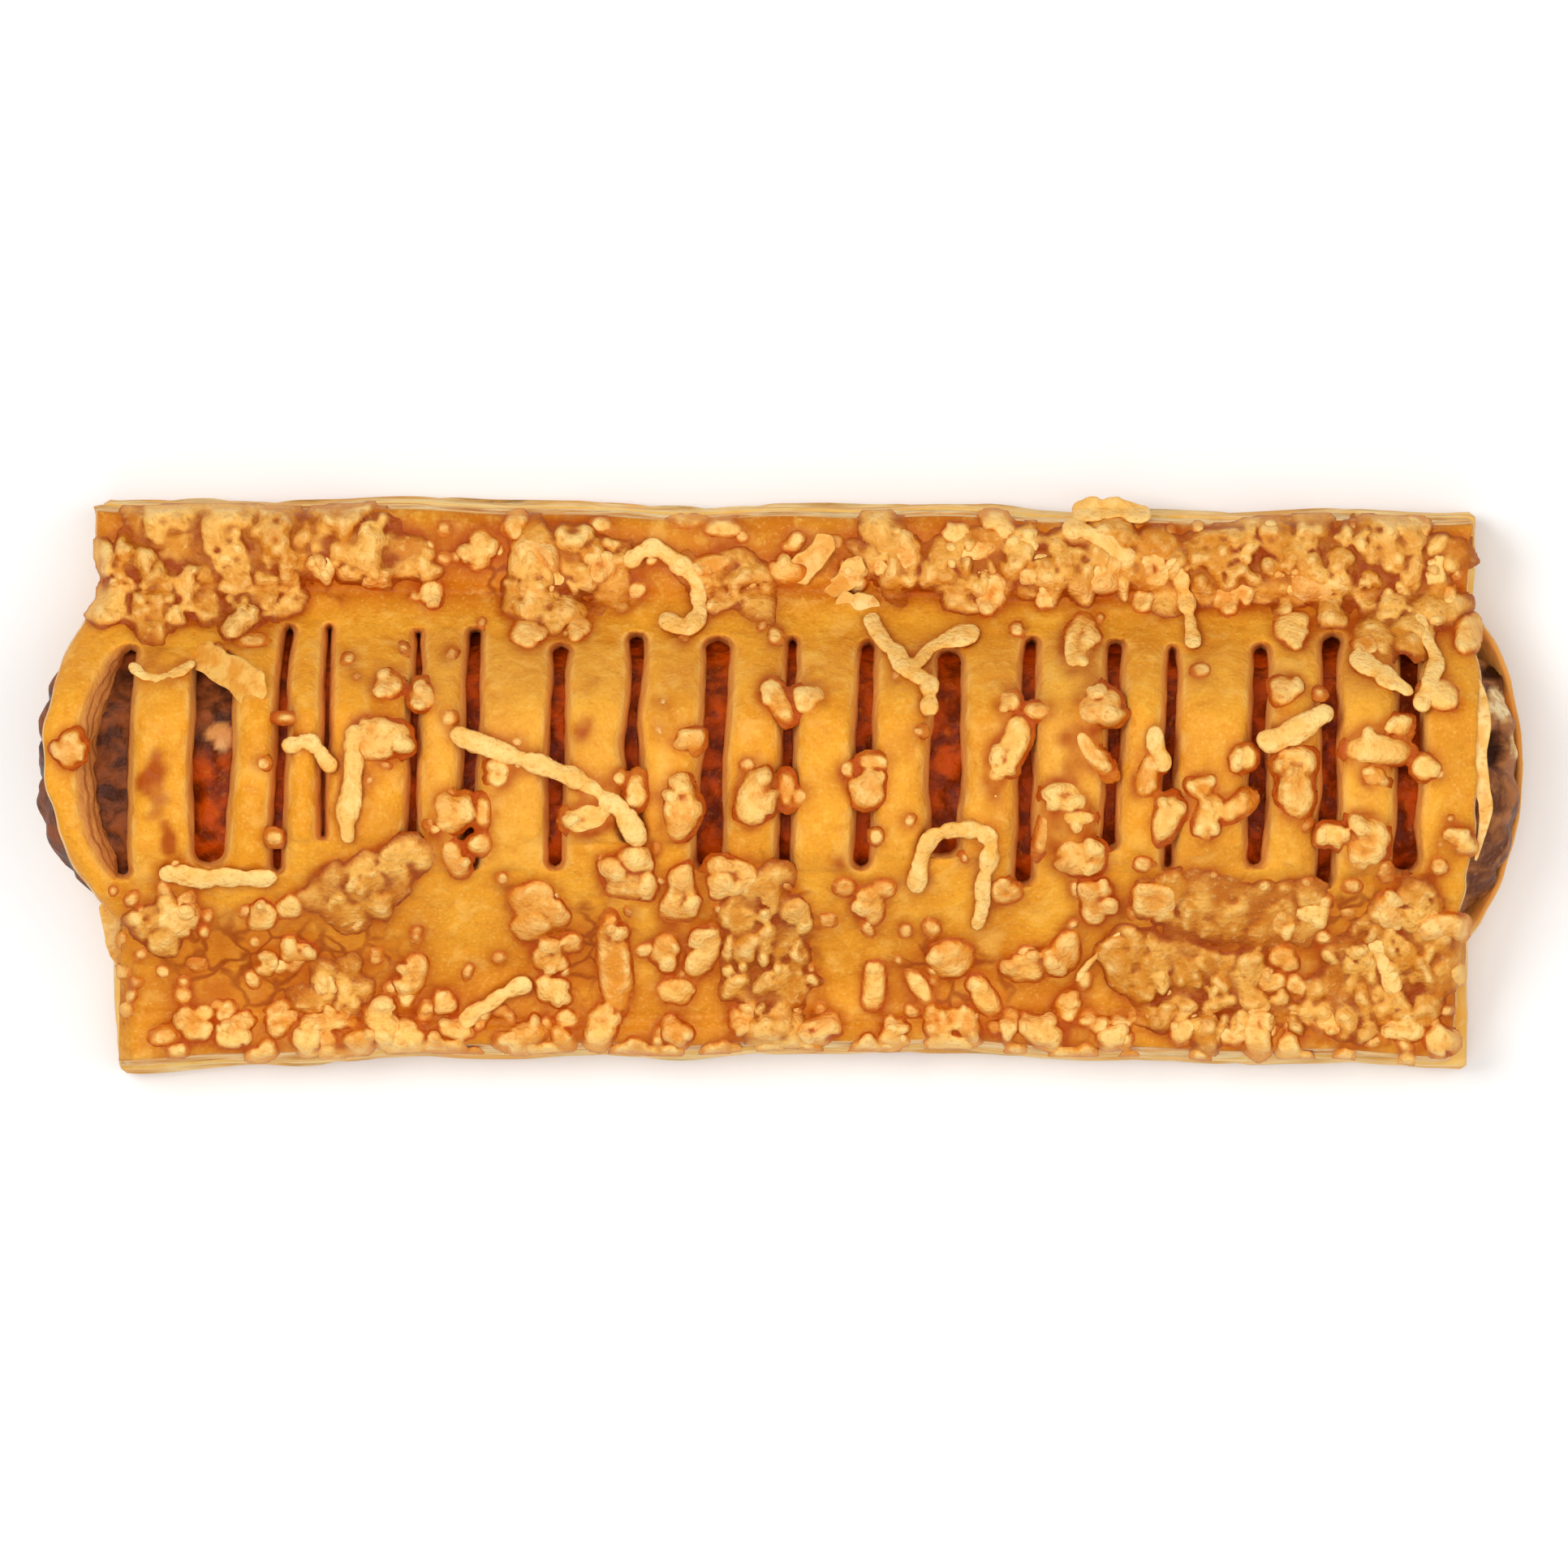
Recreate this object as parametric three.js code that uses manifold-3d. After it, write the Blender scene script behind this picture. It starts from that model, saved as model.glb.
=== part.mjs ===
// A slit puff-pastry slice: a flat base sheet, a log of savoury filling that bulges
// out at both ends, and a slit lid sheet pressed down along the two long edges,
// with grated cheese baked onto it. Millimetres, +Z up, +X along the slice,
// origin at the middle of the footprint on the table.
import * as THREE from "three";
import { mergeVertices } from "three/addons/utils/BufferGeometryUtils.js";
import Module from "manifold-3d";

const wasm = await Module();
wasm.setup();
const { lerp, smoothstep, degToRad } = THREE.MathUtils;

// Heights
const SEAL_Z = 6; // where the lid meets the base along the long edges
const FLANGE_TOP = 12.5; // top of the puffed, pressed edges
const CROWN_RISE = 14.5; // rise of the lid from the edges to its crown
const LID_THICK = 4.2; // lid over the filling
const GAP = 0.3; // clearance between the two sheets, and between the base and the filling
const FILLING_DROP = 0.9; // air between the filling and the lid
const RIPPLE = 0.4; // unevenness of the lid's top
const CRAG = 0.45; // unevenness of the filling's top

// Section of the lid: creases at the flanges, shoulders where the crown begins
const UPPER_CREASE = 21.5;
const UPPER_SHOULDER = 7;
const LOWER_CREASE = -26;
const LOWER_SHOULDER = -3;
const END_SINK = 0.3; // share of the crown's rise lost at the ends
const END_SINK_FROM = 52;
const END_SINK_TO = 84;

// Plan of the long edges: the upper one tapers, the lower one is drawn in at its middle
const BODY_HALF = 77;
const UPPER_EDGE = 31.4;
const UPPER_TAPER = 0.012;
const LOWER_EDGE = 32.3;
const LOWER_WAIST = 1.9;
const EDGE_WAVE = 0.45;
const LID_INSET = 1.2; // the lid stops short of the base's long edges
const FILLING_UPPER = 18.5;
const FILLING_LOWER = -20.5;

// Plan of the ends: the filling has pushed a rounded tongue out of each. For each piece,
// x of the plain end at y = 0, its slant for each millimetre of y, and x of the tongue's tip.
const TONGUE_HALF = 18.5;
const TONGUE_Y = { left: 2.5, right: 1 };
const BASE_ENDS = {
  left: { plain: -76.5, slant: -0.03, tip: -82.8 },
  right: { plain: 78, slant: 0.02, tip: 84 },
};
const LID_ENDS = {
  left: { plain: -75.6, slant: -0.06, tip: -83.1 },
  right: { plain: 76.9, slant: 0.045, tip: 78.3 },
};
const FILLING_ENDS = {
  left: { plain: -72, slant: 0, tip: -83.8, round: 1.6 },
  right: { plain: 73, slant: 0, tip: 83.1, round: 4 },
};
const PASTRY_BOW = 2; // power of the tongue's outline: a parabola for the pastry,
const FILLING_BOW = 3; // fuller for the filling

// Flaky edges: how far each level stands back, from bottom to top
const BASE_LAYERS = [0.5, 0, 0.9, 0.2, 1.1];
const LID_LAYERS = [0, 0.8, 0.1, 1.2];

// Divisions of each piece along, across and up
const BASE_GRID = [16, 10, BASE_LAYERS.length - 1];
const LID_GRID = [30, 14, LID_LAYERS.length - 1];
const FILLING_GRID = [28, 8, 2];

// Slits across the crown: x at the upper end, width, y of the upper and lower ends
const SLIT_LEAN = -0.9; // the lower ends lie this far towards the left
const SLITS = [
  [-63.8, 4.6, 15.3, -9.4],
  [-55.9, 1.5, 18.2, -10.2],
  [-51.0, 1.2, 18.2, -6.5],
  [-41.0, 1.3, 17.7, -10.8],
  [-34.6, 1.9, 17.9, -9.8],
  [-24.9, 2.3, 16.0, -9.8],
  [-16.5, 1.9, 17.3, -6.7],
  [-7.4, 3.2, 16.8, -10.0],
  [0.9, 1.6, 16.8, -10.3],
  [9.5, 2.4, 16.4, -9.8],
  [18.5, 3.8, 15.5, -8.5],
  [27.8, 2.1, 16.8, -11.7],
  [37.4, 2.0, 16.5, -7.6],
  [43.8, 1.5, 15.8, -9.9],
  [53.7, 2.3, 16.0, -9.7],
  [61.6, 2.4, 17.2, -11.9],
  [70.5, 2.9, 16.0, -10.3],
];
// The wide window behind the lid's last strand on the left, which bows out with the tongue
const WINDOW = [-73.6, 2.0, 15.8, -10.9];
const WINDOW_BOW = 4.4;
const SLIT_STEPS = 6; // along each side of a slit

// Cheese lumps: x, y, length, width, turn in degrees
const LUMP_HEIGHT = 0.34; // of a lump's width, above and below the crust
const LUMP_MOST = 1.5; // the highest lump
const LUMP_SIDES = 8;
const LUMP_PROFILE = [[0, -1], [1, -0.1], [0.72, 0.75], [0, 1]]; // radius and height
const LUMP_UNEVEN = 0.16;
const LUMPS = [
  // melted crusts along the upper flange
  [-69.5, 24.2, 13, 9, 25], [-72.5, 19.2, 7, 5, 60], [-58, 24.6, 6.5, 5, 60],
  [-46.7, 26.4, 11, 5.5, -5], [54.5, 24.8, 10, 6, 10], [66, 25.2, 10, 5.5, 0],
  [-1.5, 24.6, 6, 4.5, 60],
  // melted crusts below the slits
  [-49.5, -9.6, 8, 5, 0], [-1.8, -19.6, 17, 8.5, 105], [44, -21.4, 7, 6.6, 0],
  [51.2, -18.8, 7, 6, 30], [-63, -14.5, 7, 5, 20],
  // lumps on the upper flange
  [-34.2, 26.3, 4.5, 3.2, 75], [-28.5, 25.5, 5.5, 5.2, 0], [13.5, 25.7, 5, 3.5, 80],
  [20.8, 26.2, 7.2, 2.6, 8], [28.7, 24.4, 4.6, 3.8, 0], [35.3, 24.3, 5.8, 5.2, 0],
  // lumps on the crown
  [-45, 5, 6, 5, 0], [-37, -3.6, 4.6, 3.6, 60], [-22, -3.8, 5.3, 3.5, 15],
  [-17.4, -10.6, 6, 5.2, 20], [-11.5, -2.6, 7, 4, 85], [-3.2, -1.5, 6.4, 4, 80],
  [-0.6, 9.3, 5.2, 2.6, -60], [9.3, -0.8, 3.8, 3.8, 0], [25.2, 3.8, 8.4, 3.2, 65],
  [35.1, 8.8, 5.3, 4.4, 0], [34.5, 3.6, 6.5, 2.8, -50], [33.2, -8.2, 5.5, 4.2, 0],
  [33.1, 15.9, 6.4, 3.4, 75], [47.6, -3.8, 5.1, 3, 75], [57.5, -0.8, 5.4, 3.9, 80],
  [66.6, 3.8, 7.4, 3.4, 0], [65.3, -6.5, 5.8, 4.3, 80],
  // lumps on the long lower slope
  [-28.2, -13.8, 5.6, 5.4, 0], [-11.7, -12.8, 5.8, 4.2, 70], [-19, -20.6, 11.5, 3.8, 95],
  [-9.1, -19, 6.5, 3.4, 60], [10.1, -22.9, 5.3, 2.9, 85], [18.8, -19.6, 4.7, 4.4, 0],
  [27.2, -20.5, 5, 3.5, 0], [31.4, -19, 5.2, 3.5, 65], [35.1, -13.4, 5, 3.8, 80],
  [68.3, -14.6, 5, 3, -75], [74.4, -16, 4.7, 3.8, 0], [-41.8, -21.6, 5, 3.2, 70],
];

// Cheese grains along the lower flange, spread by turns of the golden ratio
const GRAINS = 18;
const GRAIN_SIZE = [3.2, 5.4];
const GRAIN_SLIM = 0.66; // width of a grain for its length
const GRAIN_BAND = { from: -74, to: 74, low: -28.4, high: -26.6 };
const GOLDEN = 0.618034;

// Cheese shreds: thickness, then x, y points along each
const SHREDS = [
  [2.1, [-37.1, 5.8], [-29.8, 2.8], [-22.4, 0.1], [-18.3, -3.1], [-16.4, -5.9]],
  [1.9, [-17.4, 25.2], [-14.8, 26.6], [-11.2, 24.2], [-9.4, 20.6], [-11, 17.6], [-13.4, 18.6]],
  [1.9, [9.8, 18.4], [12, 15.2], [14.2, 13.2], [17, 15.4], [21.5, 17]],
  [1.7, [13.8, 13], [16.4, 11], [16.4, 8.4]],
  [1.9, [-69.6, -10], [-64.6, -10.6], [-57.7, -10.6]],
  [2.2, [-48.1, 5.6], [-48.4, 1.4], [-48.8, -5.9]],
  [1.8, [-55.9, 4.2], [-53.1, 4.6], [-50.7, 1.8]],
  [2, [64.4, 14.3], [67.4, 12.3], [70.1, 10.2]],
  [2, [-36.2, -26.9], [-32.5, -24.2], [-29, -22.5]],
  [1.8, [14.6, -11.8], [16, -6.8], [19.2, -5], [22.9, -5.9], [22.4, -10.4], [21.9, -15.9]],
  [1.8, [54.5, 29], [56.1, 26.2], [58, 23.6]],
  [1.7, [44, 24.8], [45.3, 20.7], [46.1, 15.9]],
  [2.2, [66.6, -18.2], [68.7, -23.3]],
  [1.9, [71.4, 18.9], [73.2, 13.4], [71.4, 8.8]],
  [2.4, [53.8, 4.7], [57.2, 5.6], [60.9, 7.9]],
  [2.1, [32, 28.9], [35.3, 27.8], [38.5, 25.3]],
];
const SHRED_SIDES = 5;
const SHRED_STEPS = 6;
const SHRED_LIFT = 0.25; // of the thickness, from the crust to the shred's middle

// Outline and height fields

/** The tongue's reach: 1 in its middle, 0 from its half width on. */
const tongue = (y, middle, bow) => Math.max(0, 1 - Math.abs((y - middle) / TONGUE_HALF) ** bow);

/** x of a piece's left or right end at a given y. */
function endX(ends, side, y, bow) {
  const { plain, slant, tip } = ends[side];
  const reach = tip - plain - slant * TONGUE_Y[side];
  return plain + slant * y + reach * tongue(y, TONGUE_Y[side], bow);
}

const edgeWave = (x) => EDGE_WAVE * (0.6 * Math.sin(0.117 * x) + 0.4 * Math.sin(0.3 * x + 2));
const upperEdge = (x) => UPPER_EDGE - UPPER_TAPER * x + edgeWave(x);
const lowerEdge = (x) => -LOWER_EDGE + LOWER_WAIST * (1 - (x / BODY_HALF) ** 2) + edgeWave(x);

/** Gentle unevenness of baked dough, within about 1. */
function ripple(x, y) {
  const long = 0.5 * Math.sin(0.19 * x + 0.13 * y);
  const middling = 0.3 * Math.sin(0.43 * x - 0.31 * y + 1.7);
  return long + middling + 0.2 * Math.sin(0.83 * y + 0.67 * x);
}

/** Share of the crown's rise over the flanges, across and along the slice. */
function crown(x, y) {
  const fromUpper = 1 - smoothstep(y, UPPER_SHOULDER, UPPER_CREASE);
  const fromLower = smoothstep(y, LOWER_CREASE, LOWER_SHOULDER);
  const sink = END_SINK * smoothstep(Math.abs(x), END_SINK_FROM, END_SINK_TO);
  return fromUpper * fromLower * (1 - sink);
}

const lidTop = (x, y) => FLANGE_TOP + CROWN_RISE * crown(x, y) + RIPPLE * ripple(x, y);

function lidBottom(x, y) {
  const thick = lerp(FLANGE_TOP - SEAL_Z, LID_THICK, Math.min(1, 2 * crown(x, y)));
  return Math.max(SEAL_Z, lidTop(x, y) - thick);
}

// Pastry sheets and filling

/** A box of the given divisions, each point moved by place(u, v, w) from its shares of the sides. */
function moulded(divisions, place) {
  const box = new THREE.BoxGeometry(1, 1, 1, ...divisions);
  const at = box.getAttribute("position");
  for (let i = 0; i < at.count; i++) {
    at.setXYZ(i, ...place(at.getX(i) + 0.5, at.getY(i) + 0.5, at.getZ(i) + 0.5));
  }
  return box;
}

/** A pastry sheet between two height fields, with flaky steps round its edge. */
function sheet(divisions, { ends, layers, inset, bottom, top }) {
  return moulded(divisions, (u, v, w) => {
    const step = layers[Math.round(w * (layers.length - 1))];
    const along = lerp(-BODY_HALF, BODY_HALF, u);
    const back = inset + step;
    const y = lerp(lowerEdge(along) + back, upperEdge(along) - back, v);
    const left = endX(ends, "left", y, PASTRY_BOW) + step;
    const right = endX(ends, "right", y, PASTRY_BOW) - step;
    const x = lerp(left, right, u);
    return [x, y, lerp(bottom(x, y), top(x, y), w)];
  });
}

const makeBase = () =>
  sheet(BASE_GRID, {
    ends: BASE_ENDS, layers: BASE_LAYERS, inset: 0, bottom: () => 0, top: () => SEAL_Z - GAP,
  });

const makeLidSheet = () =>
  sheet(LID_GRID, {
    ends: LID_ENDS, layers: LID_LAYERS, inset: LID_INSET, bottom: lidBottom, top: lidTop,
  });

/** The filling: fills the tunnel between the sheets, with a craggy top and rounded ends. */
function makeFilling() {
  return moulded(FILLING_GRID, (u, v, w) => {
    const y = lerp(FILLING_LOWER, FILLING_UPPER, v);
    const drawnIn = 1 - Math.sin(Math.PI * w); // 0 half way up, where the ends reach furthest
    const left = endX(FILLING_ENDS, "left", y, FILLING_BOW) + FILLING_ENDS.left.round * drawnIn;
    const right = endX(FILLING_ENDS, "right", y, FILLING_BOW) - FILLING_ENDS.right.round * drawnIn;
    const x = lerp(left, right, u);
    const crag = CRAG * (1 + ripple(3.1 * x, 2.7 * y));
    return [x, y, lerp(SEAL_Z, lidBottom(x, y) - FILLING_DROP - crag, w)];
  });
}

// Slits

/** A cutter for one slit that runs through the lid: bow widens its left side. */
function slitCutter([x, width, top, bottom], bow = 0) {
  const steps = [...Array(SLIT_STEPS + 1).keys()].map((k) => (2 * k) / SLIT_STEPS - 1);
  const edge = (t, right) => {
    const middle = x + (SLIT_LEAN * (1 - t)) / 2;
    const half = (width / 2) * Math.sqrt(1 - t ** 4);
    const side = right ? half : -half - bow * (1 - t * t);
    return new THREE.Vector2(middle + side, lerp(bottom, top, (t + 1) / 2));
  };
  const rightSide = steps.map((t) => edge(t, true));
  const leftSide = steps.slice(1, -1).reverse().map((t) => edge(t, false));
  const depth = FLANGE_TOP + CROWN_RISE + 2 * RIPPLE;
  return new THREE.ExtrudeGeometry(new THREE.Shape([...rightSide, ...leftSide]), {
    depth, bevelEnabled: false,
  });
}

// Cheese

/** A low, uneven lump that lies on the crust and is half sunk in it. */
function lump([x, y, length, width, turn]) {
  const high = Math.min(LUMP_HEIGHT * width, LUMP_MOST);
  const profile = LUMP_PROFILE.map((point) => new THREE.Vector2(...point));
  const dome = new THREE.LatheGeometry(profile, LUMP_SIDES).rotateX(Math.PI / 2);
  const at = dome.getAttribute("position");
  const [cos, sin] = [Math.cos(degToRad(turn)), Math.sin(degToRad(turn))];
  for (let i = 0; i < at.count; i++) {
    const p = new THREE.Vector3().fromBufferAttribute(at, i);
    const lobes = Math.sin(3 * Math.atan2(p.y, p.x) + x);
    const uneven = 1 + LUMP_UNEVEN * lobes * Math.hypot(p.x, p.y);
    const along = (p.x * uneven * length) / 2;
    const across = (p.y * uneven * width) / 2;
    const px = x + along * cos - across * sin;
    const py = y + along * sin + across * cos;
    at.setXYZ(i, px, py, lidTop(px, py) + p.z * high);
  }
  return dome;
}

/** The rows of the lower flange's grains, in the same form as the lumps. */
function grainRows() {
  return [...Array(GRAINS).keys()].map((n) => {
    const share = (n * GOLDEN) % 1;
    const size = lerp(...GRAIN_SIZE, (share * 7) % 1);
    const x = lerp(GRAIN_BAND.from, GRAIN_BAND.to, (n + 0.5) / GRAINS);
    const y = lerp(GRAIN_BAND.low, GRAIN_BAND.high, share);
    return [x, y, size, GRAIN_SLIM * size, 360 * share];
  });
}

/** A shred draped over the crust along its points. */
function shred([thick, ...points]) {
  const plan = new THREE.SplineCurve(points.map((point) => new THREE.Vector2(...point)));
  const draped = plan.getSpacedPoints(SHRED_STEPS).map(({ x, y }) =>
    new THREE.Vector3(x, y, lidTop(x, y) + SHRED_LIFT * thick));
  const section = new THREE.Shape([...Array(SHRED_SIDES).keys()].map((k) => {
    const angle = (2 * Math.PI * k) / SHRED_SIDES;
    return new THREE.Vector2((thick / 2) * Math.cos(angle), (thick / 2) * Math.sin(angle));
  }));
  return new THREE.ExtrudeGeometry(section, {
    steps: SHRED_STEPS,
    bevelEnabled: false,
    extrudePath: new THREE.CatmullRomCurve3(draped),
  });
}

// Solids

/** A closed three.js geometry as a solid for cutting and joining. */
function solidOf(geometry) {
  const bare = geometry.clone();
  bare.deleteAttribute("normal");
  bare.deleteAttribute("uv");
  const merged = mergeVertices(bare, 1e-4);
  const mesh = new wasm.Mesh({
    numProp: 3,
    vertProperties: new Float32Array(merged.getAttribute("position").array),
    triVerts: new Uint32Array(merged.index.array),
  });
  return new wasm.Manifold(mesh);
}

/** A solid back as a geometry. */
function geometryOf(solid) {
  const { vertProperties, triVerts } = solid.getMesh();
  const geometry = new THREE.BufferGeometry();
  geometry.setAttribute("position", new THREE.BufferAttribute(vertProperties, 3));
  geometry.setIndex(new THREE.BufferAttribute(triVerts, 1));
  geometry.computeVertexNormals();
  return geometry;
}

/** The lid: its sheet, cut by the slits, with the cheese fused on. */
function makeLid() {
  const cutters = [slitCutter(WINDOW, WINDOW_BOW), ...SLITS.map((slit) => slitCutter(slit))];
  const cheese = [...[...LUMPS, ...grainRows()].map(lump), ...SHREDS.map(shred)];
  const cut = cutters.reduce((lid, cutter) => lid.subtract(solidOf(cutter)), solidOf(makeLidSheet()));
  return geometryOf(cheese.reduce((lid, piece) => lid.add(solidOf(piece)), cut));
}

const crust = new THREE.MeshStandardMaterial({ color: 0xe09a3c, roughness: 0.45, metalness: 0 });
const paleCrust = new THREE.MeshStandardMaterial({ color: 0xf0c070, roughness: 0.6, metalness: 0 });
const sauce = new THREE.MeshStandardMaterial({ color: 0x6e2a0c, roughness: 0.4, metalness: 0 });

function part(name, geometry, material) {
  const mesh = new THREE.Mesh(geometry, material);
  mesh.name = name;
  return mesh;
}

const pastry = new THREE.Group();
pastry.add(
  part("pastry_base", makeBase(), paleCrust),
  part("filling", makeFilling(), sauce),
  part("pastry_lid", makeLid(), crust),
);

export default pastry;
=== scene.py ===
"""The looks of a slit puff-pastry slice with cheese baked onto it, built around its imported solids."""
import math

import bpy
import numpy as np
import openvdb
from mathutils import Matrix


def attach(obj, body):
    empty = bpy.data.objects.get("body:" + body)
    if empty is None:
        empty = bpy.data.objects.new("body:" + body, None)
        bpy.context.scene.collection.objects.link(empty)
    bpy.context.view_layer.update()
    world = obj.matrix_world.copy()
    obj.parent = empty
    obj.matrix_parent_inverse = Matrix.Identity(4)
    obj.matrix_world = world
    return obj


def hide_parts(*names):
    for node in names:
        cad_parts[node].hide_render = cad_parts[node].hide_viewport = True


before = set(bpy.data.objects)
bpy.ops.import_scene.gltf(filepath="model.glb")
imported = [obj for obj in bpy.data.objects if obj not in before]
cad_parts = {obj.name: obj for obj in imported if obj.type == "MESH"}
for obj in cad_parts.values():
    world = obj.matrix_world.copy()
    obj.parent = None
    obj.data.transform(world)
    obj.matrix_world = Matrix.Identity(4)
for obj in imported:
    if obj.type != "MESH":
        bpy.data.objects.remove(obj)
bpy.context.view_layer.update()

MM = 0.001  # lengths below are in millimetres, unless a comment says metres
SEED = 7  # of the lumps and crumbs
CRUST_SEED = 40  # of the first heap of melted cheese; each next heap has the next seed

# Heights
SEAL_Z = 6.0
BASE_TOP = 5.7
FLANGE_TOP = 12.5
CROWN_RISE = 14.5
LID_THICK = 4.2
FILLING_DROP = 0.9
RIPPLE = 0.4

# Section of the lid
UPPER_CREASE, UPPER_SHOULDER = 21.5, 7.0
LOWER_CREASE, LOWER_SHOULDER = -26.0, -3.0
END_SINK, END_SINK_FROM, END_SINK_TO = 0.3, 52.0, 84.0

# Plan of the edges and of the tongues that the filling pushes out at the ends
BODY_HALF = 77.0
UPPER_EDGE, UPPER_TAPER = 31.4, 0.012
LOWER_EDGE, LOWER_WAIST = 32.3, 1.9
EDGE_WAVE = 0.45
LID_INSET = 1.2
FILLING_LOWER, FILLING_UPPER = -20.5, 18.5
TONGUE_HALF = 18.5
TONGUE_Y = {"left": 2.5, "right": 1.0}
PASTRY_BOW, FILLING_BOW = 2, 3
BASE_ENDS = {"left": (-76.5, -0.03, -82.8), "right": (78.0, 0.02, 84.0)}
LID_ENDS = {"left": (-75.6, -0.06, -83.1), "right": (76.9, 0.045, 78.3)}
FILLING_ENDS = {"left": (-72.0, 0.0, -83.8), "right": (73.0, 0.0, 83.1)}
FILLING_ROUND = {"left": 1.6, "right": 4.0}
LIP_RISE, LIP_WIDTH = 5.0, 2.6  # of the base's rim round the right end

# Relief of the baked crust
CREASE_DEPTH, UPPER_CREASE_WIDTH, LOWER_CREASE_WIDTH = 0.8, 0.7, 0.6
WRINKLE, WRINKLE_SIZE = 0.2, 5.0
PIMPLE, PIMPLE_SIZE = 0.06, 1.4
BLISTER, BLISTER_SPACING, BLISTER_SPAN = 0.4, 7.5, 0.17
BUBBLE, BUBBLE_SIZE = 0.22, 2.4
EDGE_DROP, EDGE_ROUND = 0.9, 1.5
STRAND_LIFT, STRAND_BOW = 0.4, 0.4
SLIT_RIM_DROP, SLIT_RIM_WIDTH = 0.45, 0.9

# Slits: x at the upper end, width, y of the upper and lower ends, bow of the left side
SLIT_LEAN = -0.9
SLIT_FLARE = 0.42  # each side of a slit opens further at the top
SLIT_TIP = (0.6, 0.55)  # length of a slit's rounded end, and its growth with the half width
SLIT_SWAY, SLIT_UNEVEN, SLIT_TORN = 0.22, 0.14, 0.1  # how far its middle, width and sides stray
SLIT_OPEN = 0.12  # share of its width from which it parts the lid
WINDOW_X, WINDOW_SLOPE = -73.5, 2.2  # left of this x a slit's wall slopes further
SLITS = [
    (-73.6, 2.0, 15.8, -10.9, 4.4), (-63.8, 4.6, 15.3, -9.4, 0), (-55.9, 1.5, 18.2, -10.2, 0),
    (-51.0, 1.2, 18.2, -6.5, 0), (-41.0, 1.3, 17.7, -10.8, 0), (-34.6, 1.9, 17.9, -9.8, 0),
    (-24.9, 2.3, 16.0, -9.8, 0), (-16.5, 1.9, 17.3, -6.7, 0), (-7.4, 3.2, 16.8, -10.0, 0),
    (0.9, 1.6, 16.8, -10.3, 0), (9.5, 2.4, 16.4, -9.8, 0), (18.5, 3.8, 15.5, -8.5, 0),
    (27.8, 2.1, 16.8, -11.7, 0), (37.4, 2.0, 16.5, -7.6, 0), (43.8, 1.5, 15.8, -9.9, 0),
    (53.7, 2.3, 16.0, -9.7, 0), (61.6, 2.4, 17.2, -11.9, 0), (70.5, 2.9, 16.0, -10.3, 0),
]

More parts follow.
